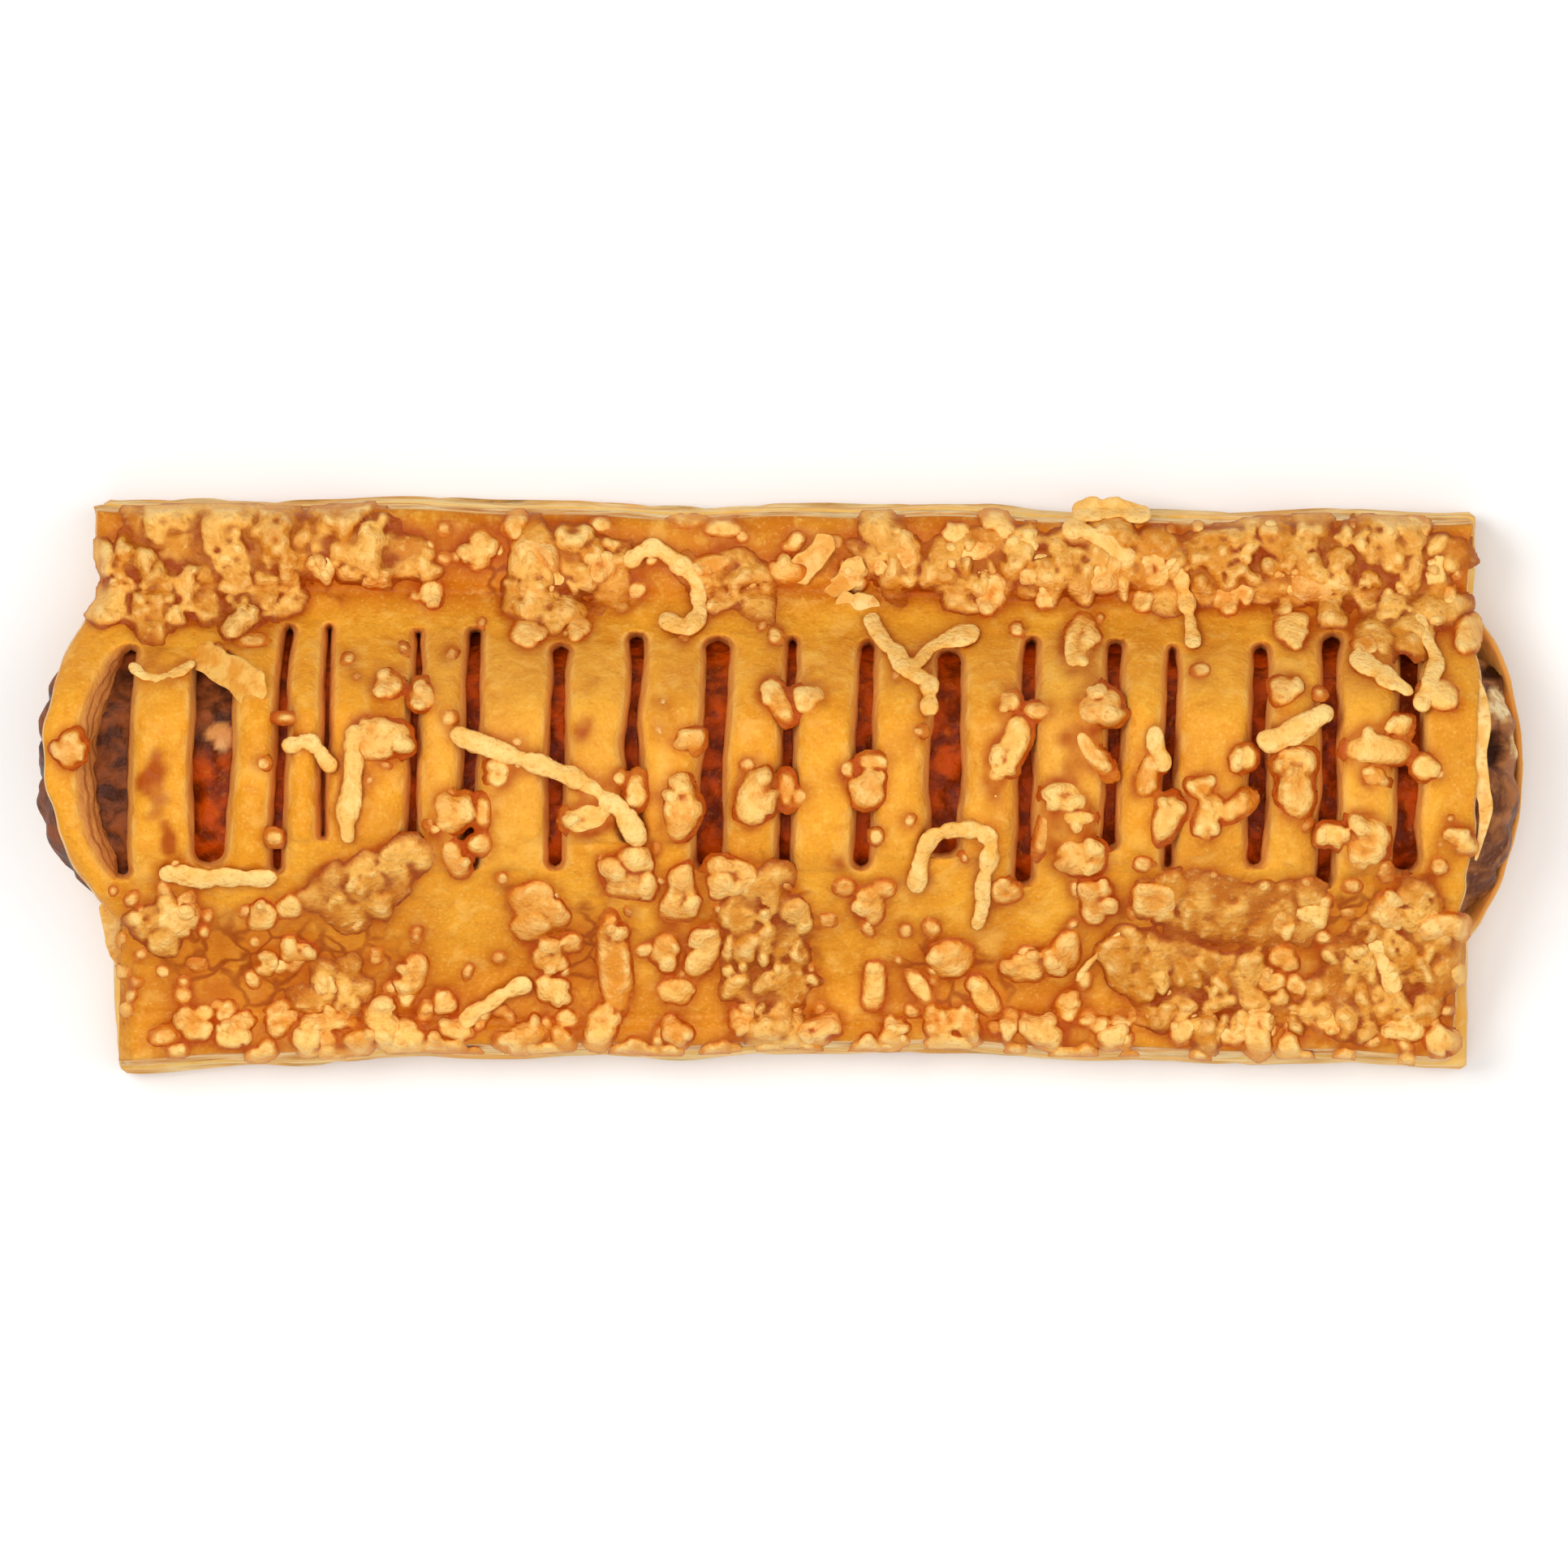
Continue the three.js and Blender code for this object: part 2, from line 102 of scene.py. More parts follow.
# Cheese lumps: x, y, length, width, turn in degrees
LUMP_RISE, LEAST_RISE, MOST_RISE = 0.42, 0.4, 1.8  # share of the width, and limits
LUMP_SQUARE = 2.3  # power of a lump's outline, 2 for an oval
LOBED_WIDTH, LOBE_PLACE = 2.2, 0.36  # wider lumps have lobes, this share of their size from the middle
FOOT_RISE, FOOT_REACH = 0.2, 0.35  # of the melted foot round a lump
LUMPS = [
    (-34.2, 26.3, 4.5, 3.2, 75), (-28.5, 25.5, 5.5, 5.2, 0), (13.5, 25.7, 5, 3.5, 80),
    (20.8, 26.2, 7.2, 2.6, 8), (28.7, 24.4, 4.6, 3.8, 0), (35.3, 24.3, 5.8, 5.2, 0), (-45, 5, 6, 5, 0),
    (-37, -3.6, 4.6, 3.6, 60), (-22, -3.8, 5.3, 3.5, 15), (-17.4, -10.6, 6, 5.2, 20),
    (-11.5, -2.6, 7, 4, 85), (-3.2, -1.5, 6.4, 4, 80), (-0.6, 9.3, 5.2, 2.6, -60),
    (9.3, -0.8, 3.8, 3.8, 0), (25.2, 3.8, 8.4, 3.2, 65), (35.1, 8.8, 5.3, 4.4, 0),
    (34.5, 3.6, 6.5, 2.8, -50), (33.2, -8.2, 5.5, 4.2, 0), (33.1, 15.9, 6.4, 3.4, 75),
    (47.6, -3.8, 5.1, 3, 75), (57.5, -0.8, 5.4, 3.9, 80), (66.6, 3.8, 7.4, 3.4, 0),
    (65.3, -6.5, 5.8, 4.3, 80), (-28.2, -13.8, 5.6, 5.4, 0), (-11.7, -12.8, 5.8, 4.2, 70),
    (-19, -20.6, 11.5, 3.8, 95), (-9.1, -19, 6.5, 3.4, 60), (10.1, -22.9, 5.3, 2.9, 85),
    (18.8, -19.6, 4.7, 4.4, 0), (27.2, -20.5, 5, 3.5, 0), (31.4, -19, 5.2, 3.5, 65),
    (35.1, -13.4, 5, 3.8, 80), (68.3, -14.6, 5, 3, -75), (74.4, -16, 4.7, 3.8, 0),
    (-41.8, -21.6, 5, 3.2, 70), (-20.6, 24.7, 3.7, 3.4, 0), (-8.2, 24.8, 5, 2.4, 10),
    (42, 25.4, 4.6, 3, 70), (74, 20.4, 4.8, 3, 75), (-80.2, 4.1, 4.2, 3, 80), (-44.5, 11.2, 3.2, 3, 0),
    (-40.4, 9.9, 2.9, 2.7, 0), (-37, -8.4, 4.4, 2.6, -60), (-28.9, 17, 3.6, 3.5, 0),
    (31.6, -1.4, 4.1, 3.5, 0), (40.8, 1.2, 5.5, 2.3, 75), (-26.3, -19.6, 3.8, 3.5, 0),
    (9.7, -13.6, 4.4, 2.6, 95), (22.6, -24, 5, 2.8, 120), (-37.6, 7.4, 1.8, 1.8, 0),
    (-10.8, 29.5, 3.2, 1.2, 0), (-16.5, -0.8, 3.8, 2.3, 90), (-18.6, 0.6, 1.8, 1.8, 0),
    (0.3, -0.7, 3.8, 2, 90), (-0.9, 16.7, 1.6, 1.6, 0), (-34.1, -6.7, 2.6, 2.1, 0),
    (-33.8, -3.2, 3.4, 1.8, 90), (-24.1, -17.9, 2.9, 2.2, 0), (-26, -23.2, 3.5, 2.9, 0),
    (-12.3, -23.4, 4.1, 2.9, 0), (-13.5, -18.8, 4.1, 3, 80), (-38.3, -24.4, 2.6, 2.6, 0),
    (-32.1, -19.5, 1.4, 1.4, 0), (-23.3, 17.8, 2.8, 2.8, 0), (-32, 1, 2.6, 2.6, 0),
    (-10.5, 5, 3.2, 2.9, 0), (-5.3, -10.3, 5, 4, 0), (2.6, 9.2, 2.9, 2.9, 0), (1.8, -1.5, 1.9, 1.9, 0),
    (7.1, 1.7, 1.8, 1.8, 0), (10, 2.4, 3.2, 2, 0), (10.4, -5.9, 1.6, 1.6, 0), (6.8, -11.6, 2.3, 1.8, 0),
    (11.2, -11.7, 2.6, 2, 0), (28.4, 8.2, 3.1, 1.9, 0), (32.8, -3.8, 3.8, 2.6, 0),
    (29.1, -5.5, 4.4, 1.7, 80), (25.2, 9.3, 2.3, 2.3, 0), (26.3, 17.4, 1.6, 1.6, 0),
    (13.7, -16.6, 1.4, 1.4, 0), (15.2, -22.9, 4.4, 2, -55), (24.7, -12.1, 3.5, 2.6, 0),
    (40.3, -9, 2, 1.5, 0), (41.5, -13.2, 5, 4, 0), (31.9, -25.2, 2.9, 2.9, 0), (34.1, -26.4, 2.3, 1.9, 0),
    (56.9, 17.6, 3.6, 3.3, 0), (49.7, 21, 3.2, 2.7, 0), (51.6, 21.6, 2.4, 2.4, 0),
    (46.9, 12.8, 1.9, 1.5, 0), (56.3, 10.5, 3.3, 3, 0), (60.1, 10.1, 1.2, 1.2, 0),
    (57.2, 2.5, 4.8, 3.6, 0), (69, 6.3, 2.7, 2.2, 0), (66.3, 0.8, 2.7, 2.7, 0), (71.9, 2, 2.8, 2.8, 0),
    (65.6, 15.8, 2.9, 2.4, 0), (73.5, 10, 4.2, 3.3, 0), (77, 16.8, 4.5, 3, 80), (46.9, -0.4, 2.6, 2.3, 0),
    (50.4, -2.7, 4.7, 2.5, 30), (43.1, -3.8, 5.1, 3, 75), (61.7, -5.6, 3.6, 2.6, 0),
    (75.5, -6, 2.2, 2.2, 0), (76.4, -6.9, 2.2, 2.2, 0), (73.6, -9.2, 1.9, 1.9, 0), (51.8, 3, 2.7, 2.7, 0),
    (72.9, -15, 1.8, 1.8, 0), (56, -15.8, 3.3, 2.7, 0), (56.1, -19.6, 2.9, 2.9, 0),
    (54.9, -22.3, 3.3, 2.5, 0), (58.7, -11.3, 1.3, 1.3, 0), (59.3, -14.6, 3.5, 3, 0),
    (63.5, -14.4, 2, 1.2, 0), (-48.9, 14.1, 1.2, 1.2, 0), (-59.8, 16.2, 3.3, 1.5, 0),
    (-57.2, -6.1, 1.8, 1.8, 0), (-58.3, 2.3, 1.3, 1.3, 0), (-55.8, 7.4, 2, 0.9, 0),
    (-68.6, -15.2, 4, 4, 0), (-58.8, -14.9, 3.2, 3.2, 0), (-54.7, -18.9, 3.6, 2.8, 0),
    (-58, -20.1, 2.4, 2.4, 0), (-51.6, -22.5, 3.1, 2.5, 0), (-56.8, -26.7, 3.2, 2.6, 0),
    (-26.2, 23, 4.1, 3.2, 0), (-4.4, 22.8, 3.2, 2.3, 0), (-6.8, 28.8, 4.4, 2, 0), (11, 24.1, 2.3, 2.3, 0),
    (18.1, 24.4, 2.6, 2.6, 0), (23.4, 21.9, 5, 3.5, 60), (27.2, 26.9, 3.5, 3.2, 0),
    (41.8, 23.1, 3.5, 2.6, 0), (73.4, 24.3, 2.7, 2.7, 0), (60, 22.5, 6, 4, 0), (-52.1, 24.5, 3.3, 3.2, 0),
]

# Melted cheese crusts: x, y, length, width, turn, rise, size of a bubble
SHEET_RISE = 0.36  # of the sheet under the lobes, as a share of the rise
CRUST_LOBES = [(1.0, 1.15, 1.1), (0.9, 0.55, 0.9)]  # number, size and rise, as shares of the row's own
CRUST_LOBE_LOOK = {"uneven": 0.3, "soft": 0.25, "knobbly": 0.2, "flat": 1.7}
CRUSTS = [
    (-65.2, 25.0, 22.5, 12.5, -4, 2.7, 3.7), (-72, 20.5, 8.5, 9, 60, 2.2, 3.3),
    (-59, 22.8, 9, 8, 0, 2.0, 3.4), (-47.5, 26.4, 16, 6.5, -8, 2.0, 3.6), (-26.5, 24, 9, 9, 0, 2.0, 3.6),
    (-20.5, 24.5, 5.5, 7, 0, 1.6, 3.0), (-6.2, 22.6, 9, 6.5, -10, 1.4, 2.8),
    (12.6, 25.6, 6.5, 5, 70, 1.6, 3.0), (22.5, 25, 13, 8, 0, 1.8, 3.4), (33, 25.2, 13, 8, 0, 1.9, 3.6),
    (42, 24, 9, 7, 0, 1.5, 2.8), (54, 24.2, 15, 10, 0, 1.9, 3.4), (67.5, 24, 17, 11, 0, 2.0, 3.6),
    (70, 19.5, 9, 6, 30, 1.4, 2.8), (-1.8, -19.4, 18, 9.5, 105, 1.9, 3.2),
    (46.5, -21, 18, 7, -8, 1.7, 3.0), (51, -26, 20, 5, 0, 1.5, 2.8), (67, -22, 16, 12, 20, 1.4, 2.8),
    (70, -15.5, 9, 8, 0, 1.1, 2.4), (-47.5, -11.2, 14, 6.5, 10, 1.3, 3.6),
    (-50, -23.5, 6, 7, 0, 0.9, 2.0), (-70, -15.6, 6.5, 4, 0, 1.2, 2.4),
    (50.5, -13.6, 21, 6.5, -4, 0.9, 2.6),
]

# Thin films of melted cheese, which colour the lid: x, y, length, width, turn
FILMS = [
    (50.5, -14, 23, 8, -6), (-58, -20, 33, 13, 0), (68, -20, 18, 18, 0), (-28, 24.5, 22, 9, 0),
    (-2, -20, 24, 13, 100), (19, -22, 15, 10, 0), (-22, -19, 16, 11, 60), (60, 24, 34, 11, 0),
    (27, 25, 28, 9, 0), (-60, 25, 32, 11, 0),
]

# Cheese along the lower rim, spread by turns of the golden ratio
GRAINS, GRAIN_SIZE, GRAIN_SLIM = 18, (3.2, 5.4), 0.66
GRAIN_BAND = {"from": -74.0, "to": 74.0, "low": -28.4, "high": -26.6}
GOLDEN = 0.618034

# Small lumps at random: count, x from and to, y from and to, least and greatest size
SCATTER = [
    (110, -76, 76, -31.6, -25.4, 1.2, 3.2), (60, -76, 76, -25, -11, 0.8, 2.0),
    (70, -76, 76, 20.5, 29.5, 1.0, 2.8), (24, -74, -42, -28, -13, 1.0, 3.4),
    (110, -76, 76, -11, 19, 0.7, 1.4),
]

# Cheese shreds: thickness, then x, y points along each
SHRED_FLAT, SHRED_LIFT = 0.8, 0.3  # height as a share of the thickness, and of the middle over the crust
SHREDS = [
    (2.1, (-37.1, 5.8), (-29.8, 2.8), (-22.4, 0.1), (-18.3, -3.1), (-16.4, -5.9)),
    (1.9, (-17.4, 25.2), (-14.8, 26.6), (-11.2, 24.2), (-9.4, 20.6), (-11, 17.6), (-13.4, 18.6)),
    (1.9, (9.8, 18.4), (12, 15.2), (14.2, 13.2), (17, 15.4), (21.5, 17)),
    (1.7, (13.8, 13), (16.4, 11), (16.4, 8.4)),
    (1.9, (-69.6, -10), (-64.6, -10.6), (-57.7, -10.6)),
    (2.2, (-48.1, 5.6), (-48.4, 1.4), (-48.8, -5.9)),
    (1.8, (-55.9, 4.2), (-53.1, 4.6), (-50.7, 1.8)),
    (2.0, (64.4, 14.3), (67.4, 12.3), (70.1, 10.2)),
    (2.0, (-36.2, -26.9), (-32.5, -24.2), (-29, -22.5)),
    (1.8, (14.6, -11.8), (16, -6.8), (19.2, -5), (22.9, -5.9), (22.4, -10.4), (21.9, -15.9)),
    (1.8, (54.5, 29), (56.1, 26.2), (58, 23.6)),
    (1.7, (44, 24.8), (45.3, 20.7), (46.1, 15.9)),
    (2.2, (66.6, -18.2), (68.7, -23.3)),
    (1.9, (71.4, 18.9), (73.2, 13.4), (71.4, 8.8)),
    (2.4, (53.8, 4.7), (57.2, 5.6), (60.9, 7.9)),
    (2.1, (32, 28.9), (35.3, 27.8), (38.5, 25.3)),
    (1.1, (-73.3, 13.4), (-70.5, 11.7), (-66.4, 13.8)),
    (0.8, (32.7, -22.2), (37.8, -16.8)),
    (1.7, (41.5, 5.6), (42.8, 1.9)),
    (2.4, (33.2, 30.6), (36.8, 31.2), (40.6, 30.4)),
]

# Flakes of pastry: width, height above the crust at both ends, paleness, x, y points along each
FLAKE_THICK = 0.28
FLAKE_X = (-74.0, 75.5)  # past these the ground under a flake goes on level
FLAKES = [
    (1.9, (-0.9, -1.5), 1.0, (76.7, 13.8), (78.0, 10.6), (78.6, 7.4), (78.1, 3.3), (78.4, -0.4),
     (78.8, -3.1), (77.7, -8.6)),
    (4.6, (0.3, 0.9), 0.0, (-66.2, 15.2), (-62.5, 12.6), (-58.1, 9.9)),
    (3.4, (0.1, 1.6), 0.5, (0.8, 23.0), (3.2, 25.3), (5.4, 27.9)),
    (2.8, (0.1, 1.2), 0.2, (4.6, 21.6), (7, 23), (8.6, 25.6)),
    (3.4, (0.1, 0.1), 1.0, (5.8, 20.4), (8.2, 20.0), (10.8, 20.2)),
    (2.4, (-2.4, -3.4), 0.8, (-76.0, -12.8), (-75.6, -16.2), (-75.0, -20.4)),
]

# Spots: x, y, length, width
SMEARS = [(80.8, 9.0, 4.2, 3.6), (82.6, 4.6, 1.8, 3.4), (-63.4, 5.3, 3.4, 3.0)]  # pale, on the filling
# Holes are sunk into the filling and painted dark, as painted shade inside them
HOLES = [(79.6, 3.8, 2.2, 5.0), (79.8, 12.4, 3.0, 2.0)]  # dark, in the filling
SCORCHES = [(-70.8, 0.3, 4.2, 6.8), (-69.2, -6.5, 2.6, 4.0)]  # on the lid
SMEAR_RISE, HOLE_DEPTH = 0.4, 0.9

# Grid that the cheese is worked out on
PLAN_STEP = 0.27
LIFT_STEP = 0.2
BURIED = 0.45  # how far the cheese goes on below the crust's surface
NONE = -1.5  # height where there is no cheese
FAR = 3.0  # distance where there is none near
OVERHANG = {"lumps": 1.1, "crumbs": 0.9, "crusts": 0.7}  # how far each reaches past the lid's edge
EDGE_SLOPE = 2.0  # of the cheese at that edge
axes = [np.arange(-86, 86, PLAN_STEP), np.arange(-34.5, 34.5, PLAN_STEP), np.arange(-1.0, 4.2, LIFT_STEP)]
plan_x, plan_y = np.meshgrid(axes[0], axes[1], indexing="ij")

# Grids of the other pieces
COLUMN = 0.6  # spacing of the lid's columns
RIM_COLUMNS = (0.16, 0.4)  # extra ones this far from both sides of a strand
LID_HALF, LID_FIT = 30.0, 19.0  # y of the last row, and from where rows bend to the edge
RIM_ROWS = (0.2, 0.5)  # extra rows this far from the edge
LID_BANDS = [(-LID_HALF, -12.5, 0.5), (-12.5, -5.5, 0.2), (-5.5, 14.5, 0.55), (14.5, 18.7, 0.2),
             (18.7, LID_HALF, 0.5)]  # y from and to, and spacing of rows
LID_LEVELS, SLIT_LEVELS, BASE_LEVELS, FILLING_LEVELS = 12, 6, 14, 16
BASE_GRID, FILLING_GRID = (300, 90), (340, 80)
STRIP = 12  # columns of a plain sheet that share a stretch of underside
FLAKE_GRID = (12, 9)  # steps between a flake's points, and points across it

# Colours of cheese, as a screen shows them: pale, golden, amber, brown
CHEESES = {
    "cheese": [(251, 192, 96), (227, 143, 42), (210, 118, 22), (180, 74, 4)],
    "crust_cheese": [(240, 178, 82), (212, 134, 36), (188, 98, 10), (154, 62, 2)],
    "shred_cheese": [(253, 201, 112), (241, 172, 70), (220, 134, 36), (184, 86, 10)],
}
# Palest cheese, for pale specks and for the painted highlight on ridges
PALEST = (255, 220, 144)
LAYER_STRETCH = (0.11, 0.11, 1.5)  # makes noise into thin flat layers

# Stage
FRAME_WIDTH = 176.9  # of the picture, at the height of the pastry's edges
CAMERA_Z, EDGE_Z = 2500.0, 10.0
SENSOR = 36.0
FLOOR_HALF = 2.0  # metres
WORLD_LIGHT = 0.4
LIGHTS = {  # place, size and power, in metres and watts
    "key": ((-0.34, 0.14, 0.74), 0.36, 3.1),
    "right": ((0.5, 0.0, 0.65), 0.6, 1.7),
    "front": ((-0.05, -0.5, 0.65), 0.6, 1.3),
    "top": ((0.05, 0.0, 0.9), 0.4, 1.0),
}


# Numbers: in noise, rough and cells, the number after the size is a seed

def lerp(a, b, t):
    return a + (b - a) * t


def smooth(x, low, high):
    """0 below low, 1 above high, and an S-curve between."""
    t = np.clip((x - low) / (high - low), 0, 1)
    return t * t * (3 - 2 * t)


def lattice(ix, iy, iz, seed):
    """A repeatable random value from 0 to 1 at each whole-number point."""
    h = (ix * 374761393 + iy * 668265263 + iz * 2246822519 + seed * 3266489917) & 0xFFFFFFFF
    h = ((h ^ (h >> 13)) * 1274126177) & 0xFFFFFFFF
    return ((h ^ (h >> 16)) & 0xFFFF) / 65535.0


def noise(x, y, z, size, seed):
    """Smooth noise from -1 to 1, with bumps about size across."""
    at = [np.asarray(c, float) / size for c in np.broadcast_arrays(x, y, z)]
    cell = [np.floor(c).astype(np.int64) for c in at]
    part = [c - n for c, n in zip(at, cell)]
    ease = [t * t * t * (t * (6 * t - 15) + 10) for t in part]
    total = 0.0
    for corner in np.ndindex(2, 2, 2):
        weight = math.prod(e if c else 1 - e for c, e in zip(corner, ease))
        total = total + weight * lattice(*(n + c for c, n in zip(corner, cell)), seed)
    return 2 * total - 1


def rough(x, y, z, size, seed, octaves=3):
    """Noise of several sizes, each half the one before."""
    layers = [noise(x, y, z, size / 2**k, seed + k) / 2**k for k in range(octaves)]
    return sum(layers) / (2 - 2.0 ** (1 - octaves))


def cells(x, y, size, seed):
    """Distances to the nearest and the next of points scattered about size apart, in sizes, and a
    random value that belongs to the nearest."""
    px, py = np.asarray(x) / size, np.asarray(y) / size
    ix, iy = np.floor(px).astype(np.int64), np.floor(py).astype(np.int64)
    first = np.full(px.shape, 9.0)
    second = np.full(px.shape, 9.0)
    chance = np.zeros(px.shape)
    for dx, dy in np.ndindex(3, 3):
        cx, cy = ix + dx - 1, iy + dy - 1
        away = np.hypot(px - cx - lattice(cx, cy, 0, seed), py - cy - lattice(cx, cy, 1, seed))
        chance = np.where(away < first, lattice(cx, cy, 2, seed), chance)
        second = np.minimum(second, np.maximum(first, away))
        first = np.minimum(first, away)
    return first, second, chance


def blur(plan, radius):
    """A plan map blurred over about radius millimetres."""
    reach = max(1, round(2.5 * radius / PLAN_STEP))
    weights = np.exp(-0.5 * (np.arange(-reach, reach + 1) * PLAN_STEP / radius) ** 2)
    weights /= weights.sum()
    for axis in (0, 1):
        pad = [(0, 0), (0, 0)]
        pad[axis] = (reach, reach)
        wide = np.pad(plan, pad, mode="edge")
        size = plan.shape[axis]
        plan = sum(w * np.take(wide, range(k, k + size), axis) for k, w in enumerate(weights))
    return plan


def sample(plan, x, y):
    """Values of a plan map at given places, with straight blending between its points."""
    fx = np.clip((x - axes[0][0]) / PLAN_STEP, 0, plan.shape[0] - 1.001)
    fy = np.clip((y - axes[1][0]) / PLAN_STEP, 0, plan.shape[1] - 1.001)
    i, j = fx.astype(int), fy.astype(int)
    u, v = fx - i, fy - j
    low = lerp(plan[i, j], plan[i + 1, j], u)
    return lerp(low, lerp(plan[i, j + 1], plan[i + 1, j + 1], u), v)


def spline(points, steps):
    """Points on a smooth curve through the given ones."""
    p = np.array([points[0], *points, points[-1]], float)
    out = []
    for a, b, c, d in zip(p, p[1:], p[2:], p[3:]):
        for t in np.linspace(0, 1, steps, endpoint=False):
            out.append(0.5 * (2 * b + (c - a) * t + (2 * a - 5 * b + 4 * c - d) * t**2
                              + (3 * b - a - 3 * c + d) * t**3))
    return np.array(out + [p[-1]])


# Outline and heights

def tongue(y, middle, bow):
    return np.maximum(0, 1 - np.abs((y - middle) / TONGUE_HALF) ** bow)


def end_x(ends, side, y, bow):
    """x of a piece's left or right end at a given y."""
    plain, slant, tip = ends[side]
    reach = tip - plain - slant * TONGUE_Y[side]
    return plain + slant * y + reach * tongue(y, TONGUE_Y[side], bow)


def edge_wave(x):
    return EDGE_WAVE * (0.6 * np.sin(0.117 * x) + 0.4 * np.sin(0.3 * x + 2))


def upper_edge(x):
    return UPPER_EDGE - UPPER_TAPER * x + edge_wave(x)


def lower_edge(x):
    return -LOWER_EDGE + LOWER_WAIST * (1 - (x / BODY_HALF) ** 2) + edge_wave(x)


def ripple(x, y):
    return (0.5 * np.sin(0.19 * x + 0.13 * y) + 0.3 * np.sin(0.43 * x - 0.31 * y + 1.7)
            + 0.2 * np.sin(0.83 * y + 0.67 * x))


def crown(x, y):
    """Share of the crown's rise over the flanges, across and along the slice."""
    across = (1 - smooth(y, UPPER_SHOULDER, UPPER_CREASE)) * smooth(y, LOWER_CREASE, LOWER_SHOULDER)
    return across * (1 - END_SINK * smooth(np.abs(x), END_SINK_FROM, END_SINK_TO))


def dome(x, y):
    return FLANGE_TOP + CROWN_RISE * crown(x, y) + RIPPLE * ripple(x, y)


def lid_bottom(x, y):
    thick = lerp(FLANGE_TOP - SEAL_Z, LID_THICK, np.minimum(1, 2 * crown(x, y)))
    return np.maximum(SEAL_Z, dome(x, y) - thick)


def edge_distance(x, y):
    """How far inside the lid's outline a place is; below 0 outside it."""
    left, right = (end_x(LID_ENDS, side, y, PASTRY_BOW) for side in ("left", "right"))
    sides = np.minimum(y - lower_edge(x), upper_edge(x) - y) - LID_INSET
    return np.minimum(np.minimum(x - left, right - x), sides)


def upper_crease(x):
    return UPPER_CREASE + 0.9 * noise(x, 0, 0, 14, 11)


def lower_crease(x):
    return LOWER_CREASE - 0.4 + 0.6 * noise(x, 0, 0, 11, 12)


def groove(y, middle, width):
    """1 in the middle of a crease, and less away from it."""
    return np.exp(-((y - middle) / width) ** 2)


def crust_top(x, y):
    """The lid's baked top without its slits: the dome with creases, wrinkles, blisters and a round edge."""
    upper = groove(y, upper_crease(x), UPPER_CREASE_WIDTH)
    lower = groove(y, lower_crease(x), LOWER_CREASE_WIDTH)
    creases = -CREASE_DEPTH * upper - CREASE_DEPTH * lower
    wrinkles = WRINKLE * rough(x, y, 0, WRINKLE_SIZE, 13) + PIMPLE * noise(x, y, 0, PIMPLE_SIZE, 14)
    near, _, _ = cells(x, y, BLISTER_SPACING, 15)
    blisters = BLISTER * smooth(BLISTER_SPAN - near, 0, BLISTER_SPAN)
    fall = np.maximum(0, 1 - edge_distance(x, y) / EDGE_ROUND) ** 2
    return dome(x, y) + creases + wrinkles + blisters - EDGE_DROP * np.minimum(fall, 4)


def slit_sides(slit, n, y):
    """x of a slit's left and right side along y, and how far it is open from 0 to 1."""
    x, width, top, bottom, bow = slit
    t = 2 * (y - bottom) / (top - bottom) - 1
    middle = x + SLIT_LEAN * (1 - t) / 2 + SLIT_SWAY * noise(y, 0, 0, 6, 70 + n)
    round_end = SLIT_TIP[0] + SLIT_TIP[1] * (width / 2 + SLIT_FLARE)
    tip = np.maximum(0, 1 + (np.abs(t) - 1) * (top - bottom) / 2 / round_end)
    shape = np.sqrt(np.maximum(0, 1 - tip**2))
    half = (width / 2 + SLIT_FLARE) * shape * (1 + SLIT_UNEVEN * noise(y, 5, 0, 4, 90 + n))
    torn = SLIT_TORN * shape
    bowed = bow * np.maximum(0, 1 - t * t) * (shape > 0)
    left = middle - half - bowed + torn * rough(y, 1, 0, 2.6, 120 + n)
    return left, middle + half + torn * rough(y, 2, 0, 2.6, 140 + n), shape


def over_slit(x, y, reach):
    """Whether a place is within reach of a slit."""
    for n, slit in enumerate(SLITS):
        left, right, open_share = slit_sides(slit, n, np.array([y]))
        if open_share[0] > 0 and left[0] - reach < x < right[0] + reach:
            return True
    return False


# Meshes

def make_object(name, points, faces, material, values):
    """A smooth mesh object with named values at its points."""
    mesh = bpy.data.meshes.new(name)
    mesh.from_pydata((np.asarray(points) * MM).tolist(), [], [list(map(int, f)) for f in faces])
    for key, stored in values.items():
        layer = mesh.attributes.new(key, "FLOAT", "POINT")
        layer.data.foreach_set("value", np.asarray(stored, np.float32))
    mesh.shade_smooth()
    mesh.materials.append(material)
    obj = bpy.data.objects.new(name, mesh)
    bpy.context.collection.objects.link(obj)
    return obj


class Shell:
    """Points, faces and named values of a mesh as it is put together."""

    def __init__(self, *keys):
        self.points = []
        self.faces = []
        self.values = {key: [] for key in keys}

    def add(self, points, **values):
        start = len(self.points)
        points = np.asarray(points).reshape(-1, 3)
        self.points.extend(points.tolist())
        for key, stored in self.values.items():
            stored.extend(np.broadcast_to(values.get(key, 0.0), len(points)).tolist())
        return np.arange(start, start + len(points))

    def at(self, ids):
        return np.array([self.points[i] for i in ids])


def loop_normals(loop):
    """Plan directions to the right of travel round a closed loop of points."""
    along = np.roll(loop, -1, 0)[:, :2] - np.roll(loop, 1, 0)[:, :2]
    along /= np.maximum(np.linalg.norm(along, axis=1, keepdims=True), 1e-9)
    return np.stack([along[:, 1], -along[:, 0]], 1)


def add_wall(shell, top_ids, levels, ring):
    """Walls below a loop: ring(share, loop, normals) gives each lower ring's points and values."""
    loop = shell.at(top_ids)
    normals = loop_normals(loop)
    above = top_ids
    for level in range(1, levels + 1):
        points, values = ring(level / levels, loop, normals)
        below = shell.add(points, **values)
        for i in range(len(loop)):
            k = (i + 1) % len(loop)
            shell.faces.append((above[i], below[i], below[k], above[k]))
        above = below
    return above


